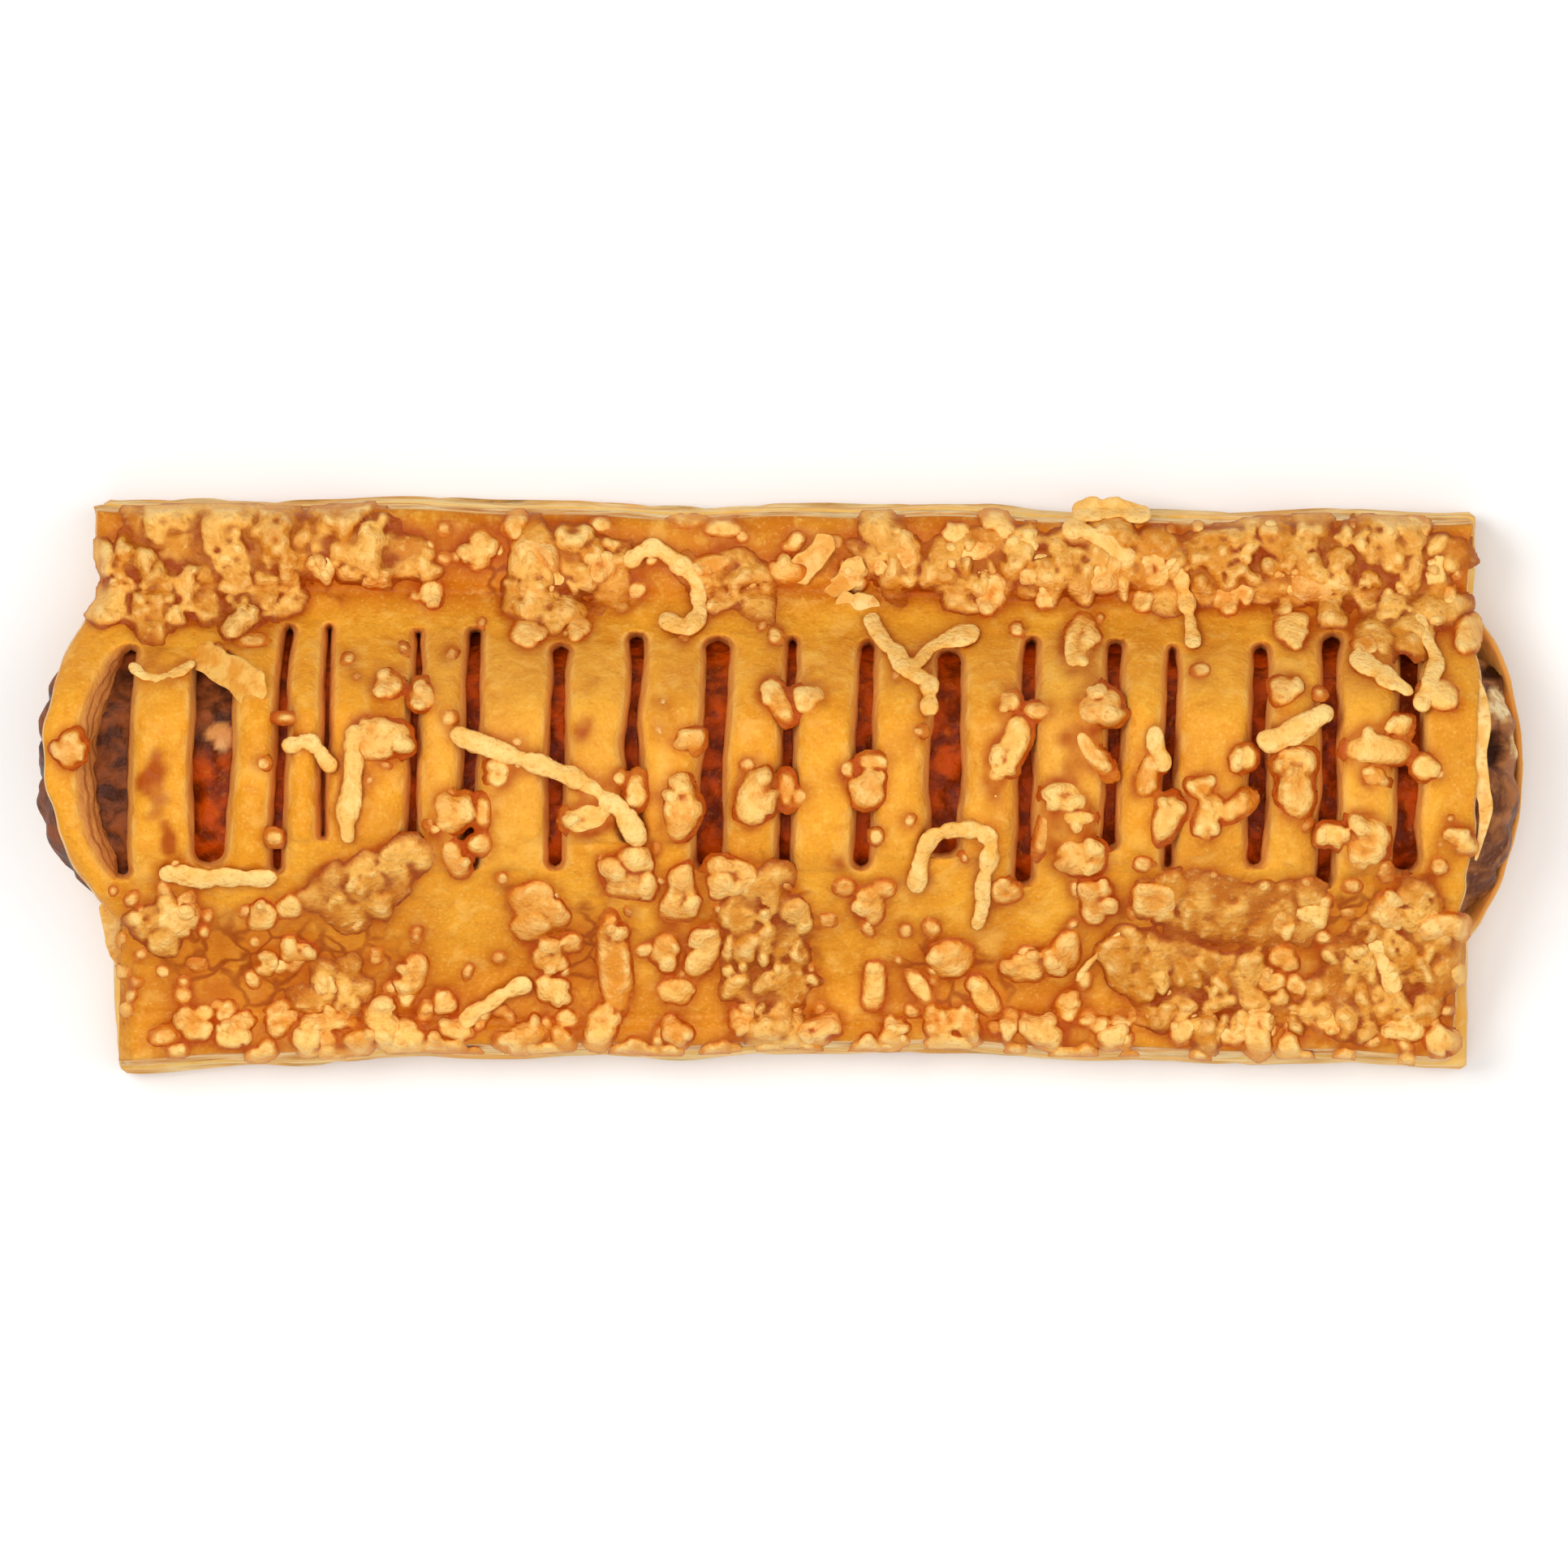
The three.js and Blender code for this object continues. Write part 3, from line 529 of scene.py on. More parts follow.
def add_sheet(shell, strands, parted, outer, slit, levels, slit_levels, bottom):
    """A closed sheet. strands are (points, values) grids of columns by rows, side by side; parted[s]
    tells in which rows slit s parts strands s and s + 1. outer and slit make the walls' rings."""
    ids = []
    for k, (points, values) in enumerate(strands):
        grid = np.full(points.shape[:2], -1)
        fresh = np.ones(points.shape[:2], bool)
        if k:
            fresh[0] = parted[k - 1]
            grid[0, ~fresh[0]] = ids[-1][-1, ~fresh[0]]
        grid[fresh] = shell.add(points[fresh], **{key: v[fresh] for key, v in values.items()})
        ids.append(grid)
        corners = np.stack([grid[:-1, :-1], grid[1:, :-1], grid[1:, 1:], grid[:-1, 1:]], -1)
        shell.faces.extend(corners.reshape(-1, 4).tolist())
    first_row = np.concatenate([ids[0][:, 0]] + [g[1:, 0] for g in ids[1:]])
    last_row = np.concatenate([ids[0][:, -1]] + [g[1:, -1] for g in ids[1:]])
    rim = np.concatenate([first_row, ids[-1][-1, 1:-1], last_row[::-1], ids[0][0, -2:0:-1]])
    under = dict(zip(rim.tolist(), add_wall(shell, rim, levels, outer).tolist()))
    for s, rows in enumerate(parted):
        if not rows.any():
            continue
        low, high = np.flatnonzero(rows)[[0, -1]]
        left, right = ids[s][-1], ids[s + 1][0]
        loop = np.concatenate([left[low - 1:high + 2], right[low:high + 1][::-1]])
        under.update(zip(loop.tolist(), add_wall(shell, loop, slit_levels, slit).tolist()))
    add_underside(shell, ids, under, bottom)


def add_underside(shell, ids, under, bottom):
    """The ruled underside of each strand, closed to the walls' lowest rings."""
    def below(i):
        if i not in under:
            x, y, z = shell.points[i]
            under[i] = int(shell.add([(x, y, float(bottom(x, y, z)))])[0])
        return under[i]

    for grid in ids:
        left = [below(i) for i in grid[0].tolist()]
        right = [below(i) for i in grid[-1].tolist()]
        first = [below(i) for i in grid[:, 0].tolist()]
        last = [below(i) for i in grid[:, -1].tolist()]
        shell.faces.append((left[1], right[1], *first[::-1]))
        shell.faces.append((left[-2], *last, right[-2]))
        for j in range(1, len(left) - 2):
            shell.faces.append((left[j], left[j + 1], right[j + 1], right[j]))


def plain_grid(low, high, ends, bow, columns, rows, inset=0.0, drawn=(0.0, 0.0)):
    """Plan points of a sheet without slits."""
    u = np.linspace(0, 1, columns)[:, None]
    v = np.linspace(0, 1, rows)[None]
    along = lerp(-BODY_HALF, BODY_HALF, u)
    y = lerp(low(along) + inset, high(along) - inset, v)
    left = end_x(ends, "left", y, bow) + inset + drawn[0]
    right = end_x(ends, "right", y, bow) - inset - drawn[1]
    return lerp(left, right, u), y


def add_plain_sheet(shell, grid, values, outer, levels, bottom, step=STRIP):
    """A sheet without slits, in strands of a few columns so that its underside follows its outline."""
    last = grid.shape[0] - 1
    stops = np.unique(np.append(np.arange(0, last, step), last))
    strands = []
    for a, b in zip(stops, stops[1:]):
        strands.append((grid[a:b + 1], {key: v[a:b + 1] for key, v in values.items()}))
    whole = [np.zeros(grid.shape[1], bool)] * (len(strands) - 1)
    add_sheet(shell, strands, whole, outer, None, levels, 0, bottom)


# Cheese: plan maps of its height above the crust

def window(x, y, reach):
    """The part of the plan grid within reach of a place."""
    return tuple(slice(*np.searchsorted(axis, (at - reach, at + reach))) for at, axis in zip((x, y), axes))


def turned(px, py, x, y, turn):
    """Places measured along and across a direction from a middle."""
    c, s = math.cos(math.radians(turn)), math.sin(math.radians(turn))
    return (px - x) * c + (py - y) * s, (py - y) * c - (px - x) * s


def beside(row, along, across):
    """The place along and across from a row's middle, in the row's own direction."""
    x, y, turn = row[0], row[1], math.radians(row[4])
    c, s = math.cos(turn), math.sin(turn)
    return x + along * c - across * s, y + along * s + across * c


class Relief:
    """Plan maps of cheese: its height above the crust, and a tint of its own for each lump."""

    def __init__(self):
        self.high = np.full(plan_x.shape, NONE)
        self.tint = np.zeros(plan_x.shape)

    def build(self, part, here, tint, soft=0.0):
        """Builds a part of the plan up to the given heights, with a soft join where they cross."""
        before = self.high[part]
        self.tint[part] = np.where(here > before, tint, self.tint[part])
        self.high[part] = np.maximum(before, here)
        if soft:
            join = np.maximum(0, soft - np.abs(before - here)) ** 2 / (4 * soft)
            self.high[part] += join * smooth(np.minimum(before, here), 0, 0.4)

    def cut(self, limit):
        """Lowers the cheese to a limit."""
        self.high = np.minimum(self.high, limit)

    def clear_under(self, other):
        """Takes away what another piece covers."""
        self.high = np.where(self.high < other.high - 0.25, NONE, self.high)


def raise_lump(relief, row, rise, seed, tint, dimple=0.0, uneven=0.15, soft=0.0, knobbly=0.07, flat=2.3):
    """Raises one knobbly lump with a melted foot; uneven tells how far its outline strays from an oval."""
    x, y, length, width, turn = row
    part = window(x, y, 0.75 * length + 1)
    px, py = plan_x[part], plan_y[part]
    if px.size == 0:
        return
    bend = 0.6 * width + 0.5
    sway_x, sway_y = (uneven * width * rough(px, py, z, bend, seed, 2) for z in (0, 9))
    along, across = turned(px + sway_x, py + sway_y, x, y, turn)
    squared = np.abs(2 * along / length) ** LUMP_SQUARE + np.abs(2 * across / width) ** LUMP_SQUARE
    out = squared ** (1 / LUMP_SQUARE)
    top = np.maximum(0, 1 - out**flat) ** (1.5 / flat) - dimple * smooth(0.7 - out, 0, 0.5)
    knobs = 0.17 * rough(px, py, 0, 0.6 * width + 0.6, seed + 1) + knobbly * noise(px, py, 0, 1.1, seed + 5)
    top += knobs * smooth(1 - out, 0.02, 0.35)
    away = np.maximum(0, out - 1) * width / 2
    foot = FOOT_RISE * np.maximum(0, 1 - away / FOOT_REACH) ** 2 - 0.02 - 2 * np.maximum(0, away - 0.3)
    relief.build(part, np.where(out < 1, np.maximum(rise * top, foot), foot), tint, soft)


def random_tint(draw):
    return float(np.clip(draw.normal(), -1.6, 1.6))


def random_seed(draw):
    return int(draw.integers(1, 100000))


def raise_lumps(relief, rows, draw):
    """Lumps with smaller lobes on their sides."""
    for row in rows:
        length, width = row[2:4]
        seed = random_seed(draw)
        tint = random_tint(draw)
        rise = float(np.clip(LUMP_RISE * width, LEAST_RISE, MOST_RISE)) * draw.uniform(0.85, 1.15)
        raise_lump(relief, row, rise, seed, tint, draw.uniform(0, 0.3))
        if width < LOBED_WIDTH:
            continue
        for lobe in range(int(draw.integers(1, 4))):
            angle = draw.uniform(0, 2 * math.pi)
            along, across = LOBE_PLACE * length * math.cos(angle), LOBE_PLACE * width * math.sin(angle)
            middle = beside(row, along, across)
            size = width * draw.uniform(0.4, 0.7)
            lobe_row = (*middle, size * 1.25, size, draw.uniform(0, 180))
            lobe_rise = rise * draw.uniform(0.85, 1.25)
            raise_lump(relief, lobe_row, lobe_rise, seed + 7 * lobe + 3, tint + 0.3, uneven=0.2, soft=0.6)


def film_share(row, seed, px, py):
    """How far places lie inside an oval with a ragged outline."""
    x, y, length, width, turn = row
    along, across = turned(px, py, x, y, turn)
    out = np.hypot(2 * along / length, 2 * across / width)
    return 1 - out + 0.45 * rough(px, py, 0, 4.5, seed)


def raise_crust(relief, row, draw):
    """Raises a heap of lobes that melted together on a thin sheet."""
    x, y, length, width, _, rise, bubble = row
    seed = random_seed(draw)
    part = window(x, y, 0.8 * length + 1)
    px, py = plan_x[part], plan_y[part]
    inside = film_share(row[:5], seed, px, py)
    sheet = SHEET_RISE * rise * (1 + 0.5 * rough(px, py, 0, 3.0, seed + 9)) * smooth(inside, 0, 0.3)
    relief.build(part, np.where(inside > 0, sheet, inside * 3), -0.5)
    for count, size_share, rise_share in CRUST_LOBES:
        for _ in range(round(count * (length * width) / bubble**2)):
            angle = draw.uniform(0, 2 * math.pi)
            out = 0.5 * math.sqrt(draw.uniform())
            middle = beside(row, out * length * math.cos(angle), out * width * math.sin(angle))
            size = size_share * bubble * draw.uniform(0.7, 1.5)
            lobe = (*middle, size * draw.uniform(1, 1.7), size, draw.uniform(0, 180))
            high = rise * rise_share * draw.uniform(0.5, 1.2) * (1 - 0.4 * out)
            raise_lump(relief, lobe, high, random_seed(draw), random_tint(draw), **CRUST_LOBE_LOOK)


def grain_rows():
    """The lower rim's grains, in the lumps' form."""
    for n in range(GRAINS):
        share = (n * GOLDEN) % 1
        size = lerp(*GRAIN_SIZE, (share * 7) % 1)
        x = lerp(GRAIN_BAND["from"], GRAIN_BAND["to"], (n + 0.5) / GRAINS)
        yield x, lerp(GRAIN_BAND["low"], GRAIN_BAND["high"], share), size, GRAIN_SLIM * size, 360 * share


def scatter_rows(zone, draw):
    """Small lumps at random places of a zone."""
    count, left, right, low, high, smallest, largest = zone
    for _ in range(count):
        size = smallest * (largest / smallest) ** (draw.uniform() ** 1.6)
        x, y = draw.uniform(left, right), draw.uniform(low, high)
        row = (x, y, size * draw.uniform(1, 1.5), size, draw.uniform(0, 180))
        if not over_slit(x, y, size / 2):
            yield row


def height_field(high):
    """Distances from cheese of the given height, with its underside just below the crust."""
    level = axes[2][None, None]
    return np.maximum(level - high[..., None], -level - BURIED)


def shred_field(rows):
    """Distances from the shreds, each a string of flattened balls close together."""
    field = np.full([len(a) for a in axes], FAR)
    for n, (thick, *points) in enumerate(rows):
        path = spline(points, 24)
        for k, (x, y) in enumerate(path):
            x += 0.25 * float(noise(k * 0.1, 2, 0, 1, 20 + n))
            y += 0.25 * float(noise(k * 0.1, 5, 0, 1, 20 + n))
            tip = min(1, 0.6 + 0.13 * min(k, len(path) - 1 - k))
            radius = thick / 2 * tip * (1 + 0.34 * float(noise(k * 0.16, 0, 0, 1, 40 + n)))
            lift = SHRED_LIFT * thick + 0.3 * float(noise(x, y, 7, 6, 60 + n))
            part = window(x, y, radius + 1)
            plan = (plan_x[part] - x) ** 2 + (plan_y[part] - y) ** 2
            up = (axes[2][None, None] - lift) / SHRED_FLAT
            field[part] = np.minimum(field[part], np.sqrt(plan[..., None] + up * up) - radius)
    i, j, k = np.nonzero(np.abs(field) < 0.9)
    field[i, j, k] += 0.2 * rough(axes[0][i], axes[1][j], axes[2][k], 1.3, 87)
    return field


def make_cheese(name, field, material, relief, merge):
    """A piece of cheese from its field of distances, laid over the crust; merge joins flat faces."""
    grid = openvdb.FloatGrid(FAR)
    grid.copyFromArray(field.astype(np.float32))
    points, triangles, quads = grid.convertToPolygons(0.0, merge)
    points = points * (PLAN_STEP, PLAN_STEP, LIFT_STEP) + [axis[0] for axis in axes]
    a, b, c = (points[quads[:, n]] for n in (0, 1, 2))
    turn = -1 if np.einsum("ij,ij->i", a, np.cross(b, c)).sum() < 0 else 1
    faces = triangles[:, ::turn].tolist() + quads[:, ::turn].tolist()
    x, y, lift = points.T
    above = np.maximum(relief.high, 0)
    # Height against the blurred height round it: the material browns low places and gives them painted
    # shade, and gives high places a painted highlight
    near, far = (sample(above - blur(above, radius), x, y) for radius in (0.5, 1.4))
    outside = smooth(-edge_distance(x, y), -0.8, 0.4)
    values = {
        "lift": lift + 0.5 * outside,
        "hollow_browning_and_shade": np.maximum(smooth(-near, 0.01, 0.16), smooth(-far, 0.0, 0.3)) * (1 - outside),
        "ridge_highlight": np.maximum(smooth(near, 0.05, 0.25), smooth(far, 0.25, 0.9)),
        "tint": sample(relief.tint, x, y),
    }
    return make_object(name, np.column_stack([x, y, lift + crust_top(x, y)]), faces, material, values)


# Materials

def srgb(red, green, blue):
    """A colour as a screen shows it, from 0 to 255, as linear light."""
    def linear(c):
        c /= 255
        return c / 12.92 if c <= 0.04045 else ((c + 0.055) / 1.055) ** 2.4
    return (linear(red), linear(green), linear(blue), 1.0)


class Nodes:
    """A node tree built by short calls: an input is a socket to link, or a plain value."""

    def __init__(self, name):
        self.material = bpy.data.materials.new(name)
        self.material.use_nodes = True
        self.tree = self.material.node_tree
        self.shader = self.tree.nodes["Principled BSDF"]
        self.place = self.scaled(self.node("ShaderNodeTexCoord").outputs["Object"], (1 / MM,) * 3)
        self.flat = self.scaled(self.place, LAYER_STRETCH)

    def node(self, kind, **settings):
        made = self.tree.nodes.new(kind)
        for key, value in settings.items():
            setattr(made, key, value)
        return made

    def put(self, socket, value):
        if isinstance(value, bpy.types.NodeSocket):
            self.tree.links.new(value, socket)
        else:
            socket.default_value = value

    def scaled(self, vector, factors):
        made = self.node("ShaderNodeVectorMath", operation="MULTIPLY")
        self.put(made.inputs[0], vector)
        self.put(made.inputs[1], factors)
        return made.outputs[0]

    def texture(self, kind, size, place=None, **settings):
        made = self.node(kind, **settings)
        self.put(made.inputs["Vector"], place or self.place)
        made.inputs["Scale"].default_value = 1 / size
        return made

    def noise(self, size, detail=2.0, distortion=0.0, place=None):
        made = self.texture("ShaderNodeTexNoise", size, place)
        made.inputs["Detail"].default_value = detail
        made.inputs["Distortion"].default_value = distortion
        return made.outputs["Fac"]

    def bubbles(self, size):
        return self.texture("ShaderNodeTexVoronoi", size).outputs["Distance"]

    def veins(self, size):
        """Distance from the lines of a warped net with cells about size across."""
        moved = self.node("ShaderNodeVectorMath", operation="MULTIPLY_ADD")
        self.put(moved.inputs[0], self.texture("ShaderNodeTexNoise", size).outputs["Color"])
        self.put(moved.inputs[1], (1.4 * size,) * 3)
        self.put(moved.inputs[2], self.place)
        net = self.texture("ShaderNodeTexVoronoi", size, moved.outputs[0], feature="DISTANCE_TO_EDGE")
        return net.outputs["Distance"]

    def value(self, key):
        return self.node("ShaderNodeAttribute", attribute_name=key).outputs["Fac"]

    def band(self, value, low, high, to_low=0.0, to_high=1.0):
        """An S-curve from to_low at low to to_high at high."""
        made = self.node("ShaderNodeMapRange", interpolation_type="SMOOTHSTEP")
        for socket, given in zip(made.inputs, (value, low, high, to_low, to_high)):
            self.put(socket, given)
        return made.outputs[0]

    def math(self, operation, a, b):
        made = self.node("ShaderNodeMath", operation=operation)
        self.put(made.inputs[0], a)
        self.put(made.inputs[1], b)
        return made.outputs[0]

    def times(self, a, b):
        return self.math("MULTIPLY", a, b)

    def mix(self, share, a, b):
        made = self.node("ShaderNodeMix", data_type="RGBA")
        self.put(made.inputs["Factor"], share)
        self.put(made.inputs["A"], a)
        self.put(made.inputs["B"], b)
        return made.outputs["Result"]

    def tinge(self, colour, *rows):
        """Mixes colours in by rows: a value, where it starts and ends, the greatest share, the colour."""
        for value, low, high, share, to in rows:
            colour = self.mix(self.band(value, low, high, 0, share), colour, to)
        return colour

    def bump(self, height, depth, under=None):
        made = self.node("ShaderNodeBump")
        made.inputs["Distance"].default_value = depth * MM
        self.put(made.inputs["Height"], height)
        if under is not None:
            self.put(made.inputs["Normal"], under)
        return made.outputs[0]

    def finish(self, colour, roughness, normal, subsurface=0.0, specular=0.5):
        self.put(self.shader.inputs["Base Color"], colour)
        self.put(self.shader.inputs["Roughness"], roughness)
        self.put(self.shader.inputs["Normal"], normal)
        self.shader.inputs["Specular IOR Level"].default_value = specular
        self.shader.inputs["Subsurface Weight"].default_value = subsurface
        self.shader.inputs["Subsurface Radius"].default_value = (1.0, 0.55, 0.25)
        self.shader.inputs["Subsurface Scale"].default_value = 0.9 * MM
        return self.material


def layers(n, share, count):
    """Dark lines between the thin layers of a pastry edge, from its share of depth."""
    wobble = n.band(n.noise(5, 2), 0.2, 0.8, -3, 3)
    turns = n.times(share, 2 * math.pi * count)
    return n.band(n.math("SINE", n.math("ADD", turns, wobble), 0.0), 0.1, 0.9)


def lamination(n):
    """Colour and height of a puff pastry edge, with layers that thin out along it."""
    sheets = n.noise(1.0, 3, 0.3, n.flat)
    colour = n.mix(n.band(sheets, 0.36, 0.6), srgb(234, 160, 76), srgb(255, 220, 158))
    colour = n.tinge(colour, (n.noise(6, 3), 0.45, 0.7, 0.6, srgb(236, 170, 82)),
                     (sheets, 0.38, 0.26, 0.7, srgb(190, 106, 34)))
    return colour, sheets


def crust_material():
    """Glazed golden crust, amber on the flanges, browned round the cheese, and pale where it is cut;
    painted shade also darkens it round the cheese, in the creases, down the slits and on recessed layers of
    its edge.
    """
    n = Nodes("golden_crust")
    grain = n.noise(1.9, 4)
    fine = n.noise(0.4, 3)
    colour = n.mix(n.band(n.noise(7, 3), 0.36, 0.62), srgb(238, 160, 34), srgb(228, 146, 20))
    colour = n.mix(n.band(n.value("tone"), -1, 1), colour, n.mix(0.5, colour, srgb(240, 176, 66)))
    colour = n.mix(n.value("amber"), colour, srgb(198, 110, 16))
    colour = n.tinge(
        colour,
        (grain, 0.53, 0.75, 0.45, srgb(247, 188, 74)), (grain, 0.46, 0.28, 0.4, srgb(206, 116, 12)),
        (fine, 0.54, 0.76, 0.34, srgb(252, 206, 112)), (fine, 0.48, 0.26, 0.25, srgb(190, 98, 10)),
        (n.noise(3.2, 4, 0.4), 0.52, 0.7, 0.45, srgb(247, 188, 88)),
        (n.bubbles(1.3), 0.12, 0.05, 0.35, srgb(248, 198, 108)))
    colour = n.mix(n.value("pale"), colour, srgb(246, 192, 100))
    cream, sheets = lamination(n)
    colour = n.mix(n.value("cream"), colour, cream)
    uneven = n.band(n.noise(3.5, 2), 0.3, 0.6, 0.7, 1.0)
    # Brown: browning round the cheese and in films, with painted contact shade round the cheese, painted
    # shade in the creases and on recessed edge layers
    colour = n.mix(n.times(n.value("brown"), uneven), colour, srgb(168, 70, 4))
    film = n.value("film")
    lines = n.times(n.band(n.veins(4.5), 0.13, 0.02, 0, 0.85), uneven)
    colour = n.mix(n.times(film, 0.4), colour, srgb(198, 106, 18))
    colour = n.mix(n.times(film, lines), colour, srgb(150, 62, 4))
    deep = n.value("deep")
    # Tan cut wall in a slit, then painted shade darkening it towards the bottom
    colour = n.tinge(colour, (deep, 0.0, 0.25, 1, srgb(236, 166, 84)),
                     (deep, 0.55, 1.0, 1, srgb(204, 118, 40)))
    flaky = n.mix(n.times(layers(n, deep, 4), 0.6), srgb(214, 144, 76), srgb(150, 74, 26))
    colour = n.mix(n.value("flaky"), colour, flaky)
    edge = n.bump(n.times(sheets, n.value("cream")), 0.5)
    normal = n.bump(fine, 0.07, n.bump(grain, 0.42, edge))
    return n.finish(colour, n.band(grain, 0.3, 0.7, 0.36, 0.55), normal, 0.03, 0.11)


def cheese_material(name):
    """Cheese that is browned at its foot, browned and in painted shade in its hollows, and paler on its
    ridges as a painted highlight.
    """
    pale, golden, amber, brown = (srgb(*colour) for colour in CHEESES[name])
    n = Nodes(name)
    clouds = n.noise(3, 3, 0.3)
    grain = n.noise(0.8, 4)
    pores = n.bubbles(0.55)
    palest = n.mix(0.6, pale, srgb(*PALEST))
    lift = n.math("ADD", n.value("lift"), n.band(clouds, 0.3, 0.7, -0.1, 0.1))
    tint = n.math("ADD", n.value("tint"), n.band(clouds, 0.3, 0.7, -1, 1))
    colour = n.mix(n.band(tint, -1.8, 1.8), golden, pale)
    colour = n.tinge(colour, (lift, 0.8, 0.15, 0.75, amber))
    # Painted highlight on the ridges
    colour = n.mix(n.times(n.value("ridge_highlight"), n.band(clouds, 0.35, 0.65, 0.25, 0.9)), colour, palest)
    colour = n.tinge(colour, (grain, 0.54, 0.76, 0.45, palest), (grain, 0.46, 0.28, 0.45, amber),
                     (pores, 0.16, 0.03, 0.5, amber))
    # Browning and painted shade in the hollows
    colour = n.mix(n.times(n.value("hollow_browning_and_shade"), n.band(clouds, 0.35, 0.62, 0.55, 1.0)), colour, brown)
    foot = n.times(n.band(lift, 0.4, 0.05, 0, 0.9), n.band(clouds, 0.34, 0.62, 0.3, 1.0))
    colour = n.mix(foot, colour, brown)
    normal = n.bump(pores, 0.1, n.bump(grain, 0.35))
    return n.finish(colour, n.band(grain, 0.3, 0.7, 0.36, 0.55), normal, 0.04, 0.16)


def filling_material():
    """Moist filling: red-brown under the slits, darker at the left end and paler at the right end."""
    n = Nodes("filling")
    lumps = n.noise(3.0, 4, 0.4)
    grain = n.noise(0.9, 4)
    colour = n.mix(n.band(lumps, 0.36, 0.64), srgb(110, 35, 0), srgb(184, 70, 0))
    colour = n.tinge(colour, (grain, 0.55, 0.75, 0.5, srgb(190, 100, 26)))
    dark = n.mix(n.band(lumps, 0.38, 0.66), srgb(72, 34, 16), srgb(142, 74, 34))
    bare = n.mix(n.band(lumps, 0.38, 0.66), srgb(104, 54, 26), srgb(176, 110, 62))
    bare = n.tinge(bare, (grain, 0.58, 0.78, 0.5, srgb(196, 136, 80)))
    cream = n.mix(n.band(grain, 0.4, 0.6), srgb(222, 172, 104), srgb(250, 222, 168))
    cream = n.mix(n.value("dark"), cream, srgb(214, 146, 78))
    # hole: near black, painted shade in the filling's holes
    for key, to in (("dark", dark), ("bare", bare), ("hole", srgb(58, 26, 10)), ("cream", cream)):
        colour = n.mix(n.value(key), colour, to)
    normal = n.bump(grain, 0.3, n.bump(lumps, 0.6))
    return n.finish(colour, n.band(lumps, 0.3, 0.7, 0.3, 0.5), normal, 0.0, 0.1)


def flake_material():
    """Thin torn pastry."""
    n = Nodes("flake")
    clouds = n.band(n.noise(2.5, 4), 0.4, 0.6)
    grain = n.noise(0.7, 4)
    colour = n.mix(clouds, srgb(242, 184, 92), srgb(226, 150, 50))
    colour = n.mix(n.value("pale"), colour, n.mix(clouds, srgb(248, 208, 134), srgb(236, 178, 92)))
    colour = n.mix(n.value("edge"), colour, srgb(244, 190, 100))
    colour = n.tinge(colour, (grain, 0.48, 0.3, 0.5, srgb(204, 116, 30)))
    return n.finish(colour, 0.6, n.bump(grain, 0.2), 0.1, 0.14)


def layer_material():
    """Dry pale pastry with layered sides."""
    n = Nodes("pale_crust")
    grain = n.noise(1.2, 4)
    colour = n.mix(n.band(n.noise(6, 3), 0.35, 0.65), srgb(255, 208, 118), srgb(250, 188, 84))
    colour = n.tinge(colour, (grain, 0.5, 0.7, 0.4, srgb(255, 222, 150)))
    colour = n.mix(n.value("glaze"), colour, srgb(255, 170, 80))
    edge, sheets = lamination(n)
    colour = n.mix(n.value("side"), colour, n.mix(0.3, edge, colour))
    # Brown: painted shade on recessed layers, and browning near the bottom
    colour = n.mix(n.value("brown"), colour, srgb(190, 104, 34))
    normal = n.bump(grain, 0.2, n.bump(n.times(sheets, n.value("side")), 0.5))
    return n.finish(colour, 0.6, normal, 0.1, 0.12)


# Lid

def lid_maps(high):
    """Plan maps of the lid's colours: brown beside the cheese, partly browning and partly painted contact
    shade, painted shade in the creases, amber flanges and films.
    """
    cheese = (high > 0).astype(float)
    # Browning round the cheese and shreds, which also stands as painted contact shade at their foot
    tight, wide = blur(cheese, 0.65), blur(cheese, 2.2)
    mottle = noise(plan_x, plan_y, 0, 4, 33)
    broken = np.clip(0.6 + 0.8 * rough(plan_x, plan_y, 0, 2.6, 37), 0.05, 1)
    brown = np.clip(2.0 * tight, 0, 1) * (0.25 + 0.7 * broken) + 0.35 * wide * (0.6 + 0.6 * mottle)
    film = np.max([film_share(row, 300 + n, plan_x, plan_y) for n, row in enumerate(FILMS)], axis=0)
    blotches = smooth(rough(plan_x, plan_y, 0, 5, 40), -0.15, 0.35)
    brown = np.maximum(brown, smooth(film, 0, 0.3) * 0.6 * blotches)
    # Painted shade along the upper and lower creases
    crease = 0.5 * groove(plan_y, upper_crease(plan_x), 0.6)
    crease = crease + 0.75 * groove(plan_y, lower_crease(plan_x), 0.5)
    brown = np.maximum(brown, crease * (0.6 + 0.5 * noise(plan_x, plan_y, 0, 7, 34)))
    for x, y, length, width in SCORCHES:
        out = np.hypot(2 * (plan_x - x) / length, 2 * (plan_y - y) / width)
        brown = np.maximum(brown, 0.95 * smooth(1.1 - out + 0.5 * noise(plan_x, plan_y, 0, 2, 35), 0, 0.5))
    amber = 0.8 * smooth(plan_y, 18, 22) + 0.5 * smooth(-plan_y, 10, 22) + 0.3 * mottle
    amber += 0.1 * smooth(plan_y, 2, 14) * (1 - smooth(plan_y, 16, 18))
    return {"brown": brown, "amber": amber, "film": smooth(film, 0, 0.4)}


def lid_rows():
    """y of the lid grid's rows."""
    bands = [np.arange(*band) for band in LID_BANDS]
    rims = [side * (LID_HALF - inside) for side in (-1, 1) for inside in RIM_ROWS]
    return np.unique(np.round(np.concatenate([*bands, rims, [LID_HALF]]), 3))


